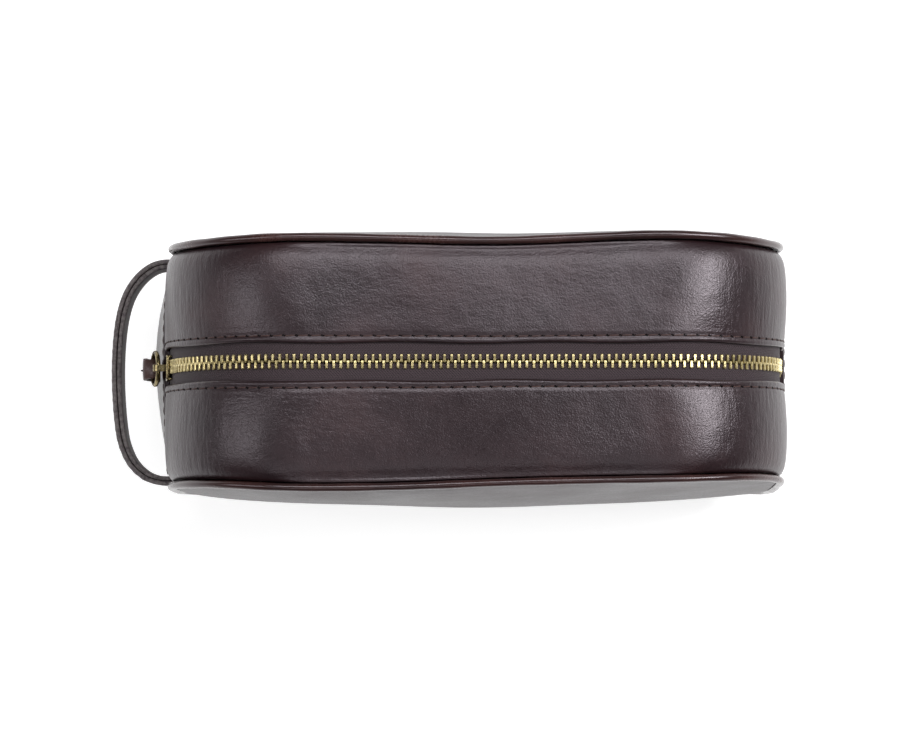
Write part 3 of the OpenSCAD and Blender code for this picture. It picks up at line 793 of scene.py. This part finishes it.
# one tooth as sections across the zip: (distance from centre, half width, outer depth, inner depth)
TOOTH = [
    (-0.56, 0.30, 1.75, 3.2), (-0.48, 0.52, 1.40, 3.5), (-0.2, 0.61, 1.24, 3.62),
    (0.9, 0.62, 1.20, 3.68), (1.25, 0.57, 1.20, 3.70), (1.7, 0.60, 1.16, 3.74),
    (2.45, 0.62, 1.16, 3.74), (2.8, 0.58, 1.24, 3.66), (2.92, 0.40, 1.5, 3.4),
]


EIGHT = ((-1, -0.72), (-0.72, -1), (0.72, -1), (1, -0.72), (1, 0.72), (0.72, 1), (-0.72, 1), (-1, 0.72))


def tooth(u, sign):
    """One tooth of the tape on the side of sign, as points and faces."""
    vs = []
    for y, hw, d0, d1 in TOOTH:
        dm = (d0 + d1) / 2
        hh = (d1 - d0) / 2
        vs += [(u + a * hw, dm + b * hh, sign * y) for a, b in EIGHT]
    v = np.array(vs)
    p = shell(v[:, 0], v[:, 1], v[:, 2])
    n = len(TOOTH)
    f = grid_faces(n, 8, False, True) + [tuple(range(8)), tuple(range((n - 1) * 8, n * 8))]
    return p, f


PARK = math.radians(4)  # the slider's place on the left corner
SLIDER_U = CUM[1] + PARK * R_TL
for side, sign in (("front", -1), ("back", 1)):
    parts = []
    count = int((S_ALL - 9.6) / PITCH)
    for i in range(count + 1):
        p = 4.6 + (i + (0.5 if sign > 0 else 0.0)) * PITCH
        if p > S_ALL - 5:
            continue
        u = along_teeth(p)
        apart = step(np.array([(SLIDER_U - 1.0 - u) / 9.0]))[0]
        vs, fs = tooth(u, sign)
        parts.append((vs + np.array([0, sign * 1.15 * apart, 0]), fs))
    V, F = join(parts)
    ob = sharp(make(side + "_zip_teeth", V, F, [M_TEETH]), 55)
    put(ob, side, [side + "_teeth", side + "_teeth_ends"])


def block(u0, u1, y0, y1, d0, d1, bev=0.3):
    """A clamp with eased edges, in distance, across and depth."""
    vs = []
    for u, k in ((u0, 0), (u0 + bev, 1), (u1 - bev, 1), (u1, 0)):
        e = 0 if k else bev
        a0, a1, b0, b1 = y0 + e, y1 - e, d0 + e, d1 - e
        vs += [(u, b0, a0 + bev), (u, b0, a1 - bev), (u, b0 + bev, a1), (u, b1 - bev, a1)]
        vs += [(u, b1, a1 - bev), (u, b1, a0 + bev), (u, b1 - bev, a0), (u, b0 + bev, a0)]
    v = np.array(vs)
    p = shell(v[:, 0], v[:, 1], v[:, 2])
    return p, grid_faces(4, 8, False, True) + [tuple(range(8)), tuple(range(24, 32))]


u0, u1 = along_teeth(0.6), along_teeth(3.2)
V, F = join([block(u0, u1, y0, y1, 1.1, 3.8) for y0, y1 in ((-3.3, -0.75), (0.75, 3.3))])
put(sharp(make("zip_top_stops", V, F, [M_TEETH]), 50), "bag", ["top_stops"])
vs, fs = block(along_teeth(S_ALL - 3.7), along_teeth(S_ALL - 0.7), -3.3, 3.3, 1.1, 3.8)
put(sharp(make("zip_bottom_stop", vs, fs, [M_TEETH]), 50), "bag", ["bottom_stop"])

# ---------------------------------------------------------------- stitching
for side, sign in (("front", -1), ("back", 1)):
    ends = []
    u = U_END_L + 4.0
    while u < U_END_R - 6:
        a, na = on_shell(u + 0.4, 0.26, sign * (GAP + SEW) - 0.12)
        b, nb = on_shell(u + 4.6, 0.26, sign * (GAP + SEW) + 0.12)
        ends.append((a, b, (na + nb) / np.linalg.norm(na + nb)))
        u += 5.0  # from one stitch to the next
    ob = stitches(side + "_zip_stitching", ends, 0.3, 0.30)
    put(ob, side)
ends = []
for u0 in (U_END_L + 1.6 - 4.2, U_END_R - 1.6 + 4.2):
    y = -43.0
    while y < 40.5:
        a, na = on_shell(u0, -0.42, y + 0.6)
        b, nb = on_shell(u0 + 0.3, -0.42, y + 4.1)
        ends.append((a, b, (na + nb) / np.linalg.norm(na + nb)))
        y += 4.8
put(stitches("end_seam_stitching", ends), "bag")


# ---------------------------------------------------------------- lining, pocket and board
def sheet_panel(name, sign, y_out, mats):
    """The lining behind a panel, hanging a little uneven."""
    us = stations(0, LOOP, 5.0, 3.0)[:-1]
    rx, rz = loop(us, 4.1)
    rows = []
    for r in (1.0, 0.97, 0.9, 0.8, 0.65, 0.5, 0.3, 0.12):
        x = rx * r
        z = MID_Z + (rz - MID_Z) * r
        out = y_out + 0.22 * (1 - r ** 6) * np.sin(x / 21 + z / 33)
        rows.append(np.stack([x, sign * out, z], 1))
    outer = np.array(rows)
    inner = outer.copy()
    inner[..., 1] -= sign * 0.55
    rows = np.concatenate([outer[::-1], inner])
    return disc_mesh(name, rows, mats, [outer[-1].mean(0), inner[-1].mean(0)])


for side, sign in (("front", -1), ("back", 1)):
    ob = sheet_panel(side + "_panel_lining", sign, 45.55, [M_LINING])
    put(ob, side, [side + "_lining_lower", side + "_lining_upper"])
    sec = [
        (12.0, 4.05), (12.0, 4.6), (24.0, 4.62), (36.0, 4.62),
        (44.7, 4.6), (44.7, 4.05), (36.0, 4.03), (24.0, 4.03),
    ]
    ob = strip(side + "_strip_lining", U_END_L - 4.0, U_END_R + 4.0, sec, [M_LINING], sign, 3.0, 2.4, drape)
    put(ob, side)
sec = [
    (-44.7, 4.05), (-22.0, 4.03), (0.0, 4.03), (22.0, 4.03), (44.7, 4.05),
    (44.7, 4.6), (22.0, 4.62), (0.0, 4.62), (-22.0, 4.62), (-44.7, 4.6),
]
ob = strip("base_lining", U_END_R + 4.6, LOOP + U_END_L - 4.6, sec, [M_LINING])
put(ob, "bag", ["gusset_lining"])


def slack(along, x):
    """How far the pocket's open edge stands off the wall, along being 0 to 1 over its width."""
    return 1.5 * math.sin(math.pi * along) * (1 + 0.3 * math.sin(x / 13))


lo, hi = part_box("slip_pocket")
lo, hi = np.array(lo) / MM, np.array(hi) / MM
nx, nz = 41, 13
rows = []
for k, yv in ((0, lo[1]), (1, hi[1])):
    for j in range(nz):
        z = lo[2] + (hi[2] - lo[2]) * j / (nz - 1)
        for i in range(nx):
            x = lo[0] + (hi[0] - lo[0]) * i / (nx - 1)
            off = slack(i / (nx - 1), x) * (j / (nz - 1)) ** 3 * (1 if k == 0 else 0.8)
            rows.append((x, yv - off, z))
a = nx * nz
f = grid_faces(nz, nx) + grid_faces(nz, nx, base=a)
for first, pitch, count in ((0, 1, nx), ((nz - 1) * nx, 1, nx), (0, nx, nz), (nx - 1, nx, nz)):
    for k in range(first, first + pitch * (count - 1), pitch):
        f.append((k, k + pitch, a + k + pitch, a + k))
r = np.array(rows)
ob = sharp(make("slip_pocket_cloth", warp(r), f, [M_POCKET], r[:, [0, 2]]), 50)
put(ob, "bag", ["slip_pocket"])
lo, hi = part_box("pocket_binding")
lo, hi = np.array(lo) / MM, np.array(hi) / MM
xs = np.linspace(lo[0], hi[0], 61)
ang = np.linspace(0, 2 * np.pi, 14, endpoint=False)
pts = np.zeros((61, 14, 3))
for i, x in enumerate(xs):
    cy = (lo[1] + hi[1]) / 2 - slack(i / 60, x) * 0.92
    cz = (lo[2] + hi[2]) / 2
    ca, sa = np.cos(ang), np.sin(ang)
    pts[i, :, 0] = x
    pts[i, :, 1] = cy + np.sign(ca) * np.abs(ca) ** 0.6 * 0.6
    pts[i, :, 2] = cz + np.sign(sa) * np.abs(sa) ** 0.5 * 3.0
ob = sweep("pocket_binding_leather", warp(pts.reshape(-1, 3)).reshape(pts.shape), [M_BINDING])
put(ob, "bag", ["pocket_binding"])

lo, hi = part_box("base_board")
lo, hi = np.array(lo) / MM, np.array(hi) / MM
r = 8.0  # of its corners
ring = []
corners = (
    (hi[0] - r, hi[1] - r, 0), (lo[0] + r, hi[1] - r, 90),
    (lo[0] + r, lo[1] + r, 180), (hi[0] - r, lo[1] + r, 270),
)
for cx, cy, a0 in corners:
    for k in range(9):
        a = math.radians(a0 + 90 * k / 8)
        ring.append((cx + r * math.cos(a), cy + r * math.sin(a)))
rows = []
for z, e in ((lo[2], 0.25), (lo[2] + 0.25, 0), (hi[2] - 0.25, 0), (hi[2], 0.25)):
    for x, y in ring:
        rows.append((x * (1 - e / 90), y * (1 - e / 45), z))
n = len(ring)
f = grid_faces(4, n, False, True) + [tuple(range(n)), tuple(range(3 * n, 4 * n))]
ob = sharp(make("base_board_card", rows, f, [M_BOARD]), 30)
put(ob, "bag", ["base_board"])

# ---------------------------------------------------------------- carrying loop
# the loop's outer face seen from above
PLAN = [
    (-118.5, 45.2), (-123.5, 46.1), (-128.0, 46.0), (-132.6, 44.6), (-137.2, 41.4), (-140.9, 37.2),
    (-143.6, 32.6), (-145.6, 27.0), (-147.0, 20.4), (-147.9, 12.4), (-148.3, 4.0), (-148.3, -4.5),
    (-147.9, -12.5), (-147.2, -20.5), (-145.9, -28.5), (-143.2, -35.6), (-139.8, -40.4), (-135.0, -44.2),
    (-129.5, -46.1), (-123.8, -46.4), (-118.5, -45.4),
]
LOOP_Z = 50.0  # height of the middle of the loop


def spline(points, per=6):
    """A smooth curve through the points."""
    p = np.array(points, float)
    p = np.vstack([2 * p[0] - p[1], p, 2 * p[-1] - p[-2]])
    out = []
    for i in range(1, len(p) - 2):
        a, b, c, d = p[i - 1], p[i], p[i + 1], p[i + 2]
        for k in range(per):
            t = k / per
            square = (2 * a - 5 * b + 4 * c - d) * t * t
            cube = (-a + 3 * b - 3 * c + d) * t ** 3
            out.append(0.5 * ((2 * b) + (-a + c) * t + square + cube))
    out.append(p[-2])
    return np.array(out)


path = spline(PLAN, 6)
tan = np.gradient(path, axis=0)
tan /= np.linalg.norm(tan, axis=1)[:, None]
inward = np.stack([-tan[:, 1], tan[:, 0]], 1)
if inward[len(path) // 2, 0] < 0:
    inward = -inward
run = np.concatenate([[0], np.cumsum(np.linalg.norm(np.diff(path, axis=0), axis=1))])


def wave(s):
    """The loop's slow rise and fall at distance s along it."""
    return 0.35 * math.sin(s / 17.0)


def strap_layer(name, t0, t1, mats, w=10.0, ease=0.55):
    """One leather layer: section across its thickness (t) and height (z), edges eased; with two materials the
    faces that look up or down take the second.
    """
    tm, ht = (t0 + t1) / 2, (t1 - t0) / 2
    sec = []
    low = [(-w, 0.45), (-w + 0.28, 0.8), (-w + ease, 1.0), (-w * 0.75, 1.0), (-w * 0.25, 1.0)]
    for z, k in low + [(-z, k) for z, k in low[::-1]]:
        sec.append((tm - ht * k, z))
    sec += [(2 * tm - a, z) for a, z in sec[::-1]]
    sec = np.array(sec)
    pts = np.zeros((len(path), len(sec), 3))
    for i, (c, n) in enumerate(zip(path, inward)):
        pts[i, :, 0] = c[0] + n[0] * sec[:, 0]
        pts[i, :, 1] = c[1] + n[1] * sec[:, 0]
        pts[i, :, 2] = LOOP_Z + sec[:, 1] + wave(run[i])
    uv = np.stack([np.repeat(run[:, None], len(sec), 1), np.tile(sec[:, 1], (len(path), 1))], 2)
    ob = sweep(name, pts, mats, uv)
    if len(mats) > 1:
        for face in ob.data.polygons:
            face.material_index = int(abs(face.normal.z) > 0.6)
    return ob


ob = strap_layer("handle_outer_leather", 0.0, 1.95, [M_STRAP, M_EDGE])
put(ob, "loop", ["handle_outer_strap", "handle_end_front", "handle_end_back"])
ob = strap_layer("handle_inner_leather", 2.15, 3.85, [M_STRAP_IN, M_EDGE], 9.8, 0.4)
put(ob, "loop", ["handle_inner_strap"])
# a near-black sheet set back between the two layers: painted shade of the groove along the strap's edges
put(strap_layer("handle_layer_groove_painted_shade", 1.90, 2.20, [M_PAINTED_SHADE], 9.5, 0.3), "loop")
ends = []
s = 14.0
while s < run[-1] - 16:
    for zc in (-7.2, 7.2):
        q = []
        for t in (s, s + 3.0):
            i = min(int(np.searchsorted(run, t)), len(run) - 1)
            c = np.array([np.interp(t, run, path[:, 0]), np.interp(t, run, path[:, 1])])
            n = inward[i]
            at = np.array([c[0] - n[0] * 0.02, c[1] - n[1] * 0.02, LOOP_Z + zc + wave(t)])
            q.append((at, np.array([-n[0], -n[1], 0.0])))
        ends.append((q[0][0], q[1][0] + np.array([0, 0, 0.25]), q[0][1]))
    s += 4.0
put(stitches("handle_stitching", ends, 0.3, 0.30), "loop")

# ---------------------------------------------------------------- slider, ring and pull
eye = np.array(frame["record"]["behaviour"]["joints"][3]["pos_m"]) / MM
fold_at = np.array(frame["record"]["behaviour"]["joints"][4]["pos_m"]) / MM


def slide(t, d, y):
    """A point in the slider's own frame: t along the zip towards the top, d depth, y across."""
    a = PARK + np.asarray(t, float) / (R_TL - TD)
    r = R_TL - np.asarray(d, float)
    return np.stack([C_TL[0] - r * np.cos(a), np.asarray(y, float) + 0 * a, C_TL[1] + r * np.sin(a)], -1)


def plate(outline, d0, d1, bev):
    """A plate of the slider with eased edges from an outline of (t, y)."""
    o = np.array(outline, float)
    c = o.mean(0)
    rows = []
    outer = [(d0, bev), (d0 + bev * 0.4, bev * 0.35), (d0 + bev, 0)]
    inner = [(d1 - bev, 0), (d1 - bev * 0.4, bev * 0.35), (d1, bev)]
    for d, e in outer + inner:
        v = o - c
        L = np.linalg.norm(v, axis=1)[:, None]
        q = c + v * (1 - e / L)
        rows.append(slide(q[:, 0], np.full(len(q), d), q[:, 1]))
    n = len(o)
    p = np.concatenate(rows)
    return p, grid_faces(6, n, False, True) + [tuple(range(n)), tuple(range(5 * n, 6 * n))]


def rounded(points, r=1.2, k=5):
    """An outline with its corners rounded off."""
    p = [np.array(a, float) for a in points]
    out = []
    for i, b in enumerate(p):
        a, c = p[i - 1], p[(i + 1) % len(p)]
        e = min(r, 0.45 * np.linalg.norm(a - b), 0.45 * np.linalg.norm(c - b))
        s0 = b + (a - b) / np.linalg.norm(a - b) * e
        s1 = b + (c - b) / np.linalg.norm(c - b) * e
        for j in range(k + 1):
            t = j / k
            out.append((1 - t) ** 2 * s0 + 2 * t * (1 - t) * b + t * t * s1)
    return out


half = [(6.0, 4.9), (1.5, 5.1), (-3.4, 5.2), (-5.6, 4.6), (-6.0, 1.5)]
shape = rounded([(6.0, -4.9)] + half + [(-5.0, 0.0)] + [(t, -y) for t, y in half[:0:-1]], 0.9, 3)
parts = [plate(shape, -0.65, 0.72, 0.3), plate(shape, 4.18, 5.4, 0.3)]
for s in (-1, 1):
    lip = [(6.0, 4.15), (6.0, 4.85), (1.5, 5.05), (-3.4, 5.2)]
    lip += [(-5.2, 4.95), (-5.4, 4.3), (-3.2, 4.4), (1.5, 4.3)]
    lip = [(a, s * b) for a, b in lip]
    parts.append(plate(lip, 0.3, 1.72, 0.16))
    parts.append(plate(lip, 3.18, 4.6, 0.16))
post = [(-5.3, -0.28), (-5.3, 0.28), (-1.6, 0.28), (-1.6, -0.28)]
parts.append(plate(rounded(post, 0.1, 2), 0.4, 4.5, 0.05))
V, F = join(parts)
put(sharp(make("zip_slider", V, F, [M_SLIDER]), 40), "slider", ["slider_body"])

# crown: an arch standing on the outer plate, its eye crossed by the ring
CROWN_R, EYE_R, EYE_D = 2.25, 1.42, 3.6
arch = [(2.3, -0.5)]
for k in range(25):
    a = math.pi * k / 24
    arch.append((CROWN_R * math.cos(a), -EYE_D - CROWN_R * math.sin(a)))
arch.append((-2.3, -0.5))
arch = arch[::-1]
m = len(arch)
inner = []
for q in arch:
    v = np.array([q[0], q[1] + EYE_D])
    v = v / np.linalg.norm(v) * EYE_R
    inner.append((v[0], v[1] - EYE_D))
rows = []
for ring_pts, y in ((inner, -1.35), (arch, -1.35), (arch, 1.35), (inner, 1.35)):
    for t, d in ring_pts:
        rows.append(slide(t, d, y))
faces = []
for a in range(4):
    b = (a + 1) % 4
    for k in range(m):
        j = (k + 1) % m
        faces.append((a * m + k, a * m + j, b * m + j, b * m + k))
ob = make("zip_slider_crown", np.array(rows), faces, [M_SLIDER])
bev = ob.modifiers.new("edges", "BEVEL")
bev.width = 0.28 * MM
bev.segments = 3
bev.limit_method = "ANGLE"
put(sharp(ob, 45), "slider", ["slider_crown"])

# ring
axis = fold_at - eye
axis /= np.linalg.norm(axis)
c = (eye + fold_at) / 2
R = np.linalg.norm(fold_at - eye) / 2
ang = np.linspace(0, 2 * np.pi, 72, endpoint=False)
pth = c + R * (np.cos(ang)[:, None] * axis + np.sin(ang)[:, None] * np.array([0, 1.0, 0]))
ob = tube("pull_ring_brass", pth, 0.93, [M_SLIDER], 16, True, up=np.cross(axis, [0, 1.0, 0]))
put(ob, "ring", ["pull_ring"])

# pull: a strip of leather folded through the ring, stitched under the fold, rounded at its end
FOLD_R, FOLD_BOW = 2.65, 3.95
outer = []
for k in range(17):
    a = math.pi * k / 16
    outer.append((-(FOLD_BOW if k < 8 else FOLD_R) * math.cos(a), FOLD_R * math.sin(a)))
foot = [(-1.6, -16.0), (-1.62, -20.0), (-1.6, -21.6), (-1.42, -22.3), (-0.9, -22.6)]
bowed = [(-3.9, -0.9), (-3.6, -2.8), (-2.85, -5.0), (-2.05, -7.4), (-1.66, -10.2), (-1.58, -13.0)] + foot
close = [(2.55, -1.6), (2.2, -3.6), (1.78, -5.6), (1.62, -8.5), (1.58, -12.0)] + [(-a, b) for a, b in foot]
prof = np.array(bowed[::-1] + outer + close)
cut = np.array([
    (0.12, -22.5), (0.1, -16.0), (0.08, -9.0), (0.2, -5.6), (0.75, -3.2), (1.22, -1.2), (1.3, 0.6), (0.7, 1.2),
    (0.0, 1.32), (-1.2, 1.2), (-2.3, 0.6), (-2.45, -1.0), (-2.1, -2.8), (-1.3, -4.9), (-0.45, -7.2),
    (-0.1, -10.0), (-0.1, -16.0), (-0.12, -22.5),
])
loop_pts = np.concatenate([prof, cut])


def tab_half(zc):
    """Half the width of the tab at height zc from its fold: round at its end, drawn in at the ring."""
    e = np.clip((-zc - 19.2) / 3.4, 0, 1)
    w = 4.55 - 2.4 * (1 - np.sqrt(np.clip(1 - e ** 2, 0, 1)))
    return w - 0.25 * np.exp(-((zc + 4.5) / 2.0) ** 2) - 0.75 * step((zc + 1.5) / 4.0)


# sections across the tab: part of its half width, and how far the edges are eased there
ys = [
    (-1.0, 0.35), (-0.985, 0.15), (-0.95, 0.03), (-0.8, 0), (-0.4, 0), (0, 0),
    (0.4, 0), (0.8, 0), (0.95, 0.03), (0.985, 0.15), (1.0, 0.35),
]
pts = np.zeros((len(ys), len(loop_pts), 3))
face_side = np.where(np.arange(len(loop_pts)) < len(prof), 1.0, 0.0)
face_side = np.sign(loop_pts[:, 0]) * face_side * (np.abs(loop_pts[:, 0]) > 1.0)
for i, (f, e) in enumerate(ys):
    q = loop_pts.copy()
    q[:, 0] = q[:, 0] - face_side * e * 0.8
    yv = f * tab_half(loop_pts[:, 1])
    saddle = (6.4 - np.sqrt(6.4 ** 2 - yv ** 2)) * step((loop_pts[:, 1] + 3.2) / 3.6)
    pts[i, :, 0] = fold_at[0] + q[:, 0] + saddle * 0.22
    pts[i, :, 1] = fold_at[1] + yv
    pts[i, :, 2] = fold_at[2] + q[:, 1] + saddle * 0.95
ob = sharp(sweep("pull_tab_leather", pts, [M_PULL]), 60)
put(ob, "tab", ["pull_tab"])
ends = []
for sx in (-1, 1):
    for y in (-3.4, -1.1, 1.2):
        a = fold_at + np.array([sx * 1.66, y, -10.4])
        b = fold_at + np.array([sx * 1.66, y + 2.1, -10.4])
        ends.append((a, b, np.array([sx, 0.0, 0.0])))
    for y in (-3.5, 3.5):
        zc = -11.4
        while zc > -19:
            a = fold_at + np.array([sx * 1.62, y, zc])
            b = fold_at + np.array([sx * 1.62, y, zc - 2.1])
            ends.append((a, b, np.array([sx, 0.0, 0.0])))
            zc -= 2.9
put(stitches("pull_tab_stitching", ends, 0.24, 0.24), "tab")
# thread end left at the foot of the fold
k = fold_at + np.array([-3.8, -0.6, -1.0])
pth = [k + np.array(v) for v in ((0.4, 0, 0), (-0.25, 0.1, 0.3), (-0.6, 0.15, 0.7), (-0.7, 0.1, 1.1))]
put(tube("pull_tab_thread_end", pth, [0.3, 0.36, 0.36, 0.2], [M_THREAD], 8), "tab")

# ---------------------------------------------------------------- studio
bpy.ops.mesh.primitive_plane_add(size=6, location=(0, 0, -0.0002))
ground = bpy.context.object
ground.name = "studio_floor"
m, nt, bsdf = nodes_of("studio_paper")
n = noise(nt, coord(nt, "Object"), 3.0, 2.0)
nt.links.new(ramp(nt, n, [(0.3, (0.49, 0.49, 0.49)), (0.7, (0.51, 0.51, 0.51))]), bsdf.inputs["Base Color"])
bsdf.inputs["Roughness"].default_value = 0.9
bsdf.inputs["Specular IOR Level"].default_value = 0.1
bsdf.inputs["Emission Color"].default_value = (1.0, 1.0, 1.0, 1.0)
bsdf.inputs["Emission Strength"].default_value = 0.80
ground.data.materials.append(m)

world = bpy.data.worlds.new("studio")
bpy.context.scene.world = world
world.use_nodes = True
wt = world.node_tree
bg = wt.nodes["Background"]
tc = wt.nodes.new("ShaderNodeTexCoord")
sp = wt.nodes.new("ShaderNodeSeparateXYZ")
wt.links.new(tc.outputs["Generated"], sp.inputs["Vector"])
sky = ramp(wt, sp.outputs["Z"], [
    (0.0, (1.0, 1.0, 1.0)), (0.045, (0.85, 0.85, 0.86)), (0.12, (0.26, 0.26, 0.27)),
    (0.45, (0.20, 0.20, 0.21)), (0.85, (0.12, 0.12, 0.125)),
])
wt.links.new(sky, bg.inputs["Color"])
bg.inputs["Strength"].default_value = 0.50


def area(name, loc, target, size, power, size_y):
    """A soft light of the studio, turned towards the target."""
    data = bpy.data.lights.new(name, "AREA")
    data.energy = power
    data.shape = "RECTANGLE"
    data.size = size
    data.size_y = size_y
    ob = bpy.data.objects.new(name, data)
    bpy.context.scene.collection.objects.link(ob)
    ob.location = loc
    ob.rotation_euler = (Vector(target) - Vector(loc)).to_track_quat("-Z", "Y").to_euler()


area("soft_left", (-1.10, 0.0, 1.00), (-0.05, 0.0, 0.1), 0.28, 3.8, 0.9)
area("soft_left_high", (-0.75, 0.0, 1.30), (-0.05, 0.0, 0.1), 0.22, 0.6, 0.8)
area("soft_right_high", (0.68, 0.10, 1.30), (0.05, 0.0, 0.1), 0.20, 5.0, 0.8)
area("soft_right", (0.85, 0.25, 1.10), (0.05, 0.0, 0.1), 0.22, 8.0, 0.7)
area("soft_right_back", (1.05, 0.55, 0.95), (0.05, 0.0, 0.1), 0.45, 3.0, 0.6)
area("soft_top_front", (0.0, -0.62, 1.42), (0.0, 0.0, 0.1), 1.4, 2.5, 0.24)
area("soft_back", (0.05, 0.62, 1.42), (0.0, 0.0, 0.1), 1.3, 10.5, 0.30)

# the camera: above the zip, leaning a little to the front
DIST = 1.45
SENSOR = 36.0
WIDE = 0.3465  # metres seen across the picture at the height of the zip
cam = bpy.data.cameras.new("camera")
cam.sensor_width = SENSOR
cam.lens = SENSOR * DIST / WIDE
cam.clip_end = 20
co = bpy.data.objects.new("camera", cam)
bpy.context.scene.collection.objects.link(co)
tilt = math.radians(2.5)
look = Vector((0, math.sin(tilt), -math.cos(tilt)))
co.location = Vector((-0.010, -0.0025, 0.150)) - look * DIST
co.rotation_euler = (tilt, 0, 0)
bpy.context.scene.camera = co
bpy.context.scene.view_settings.view_transform = "Standard"
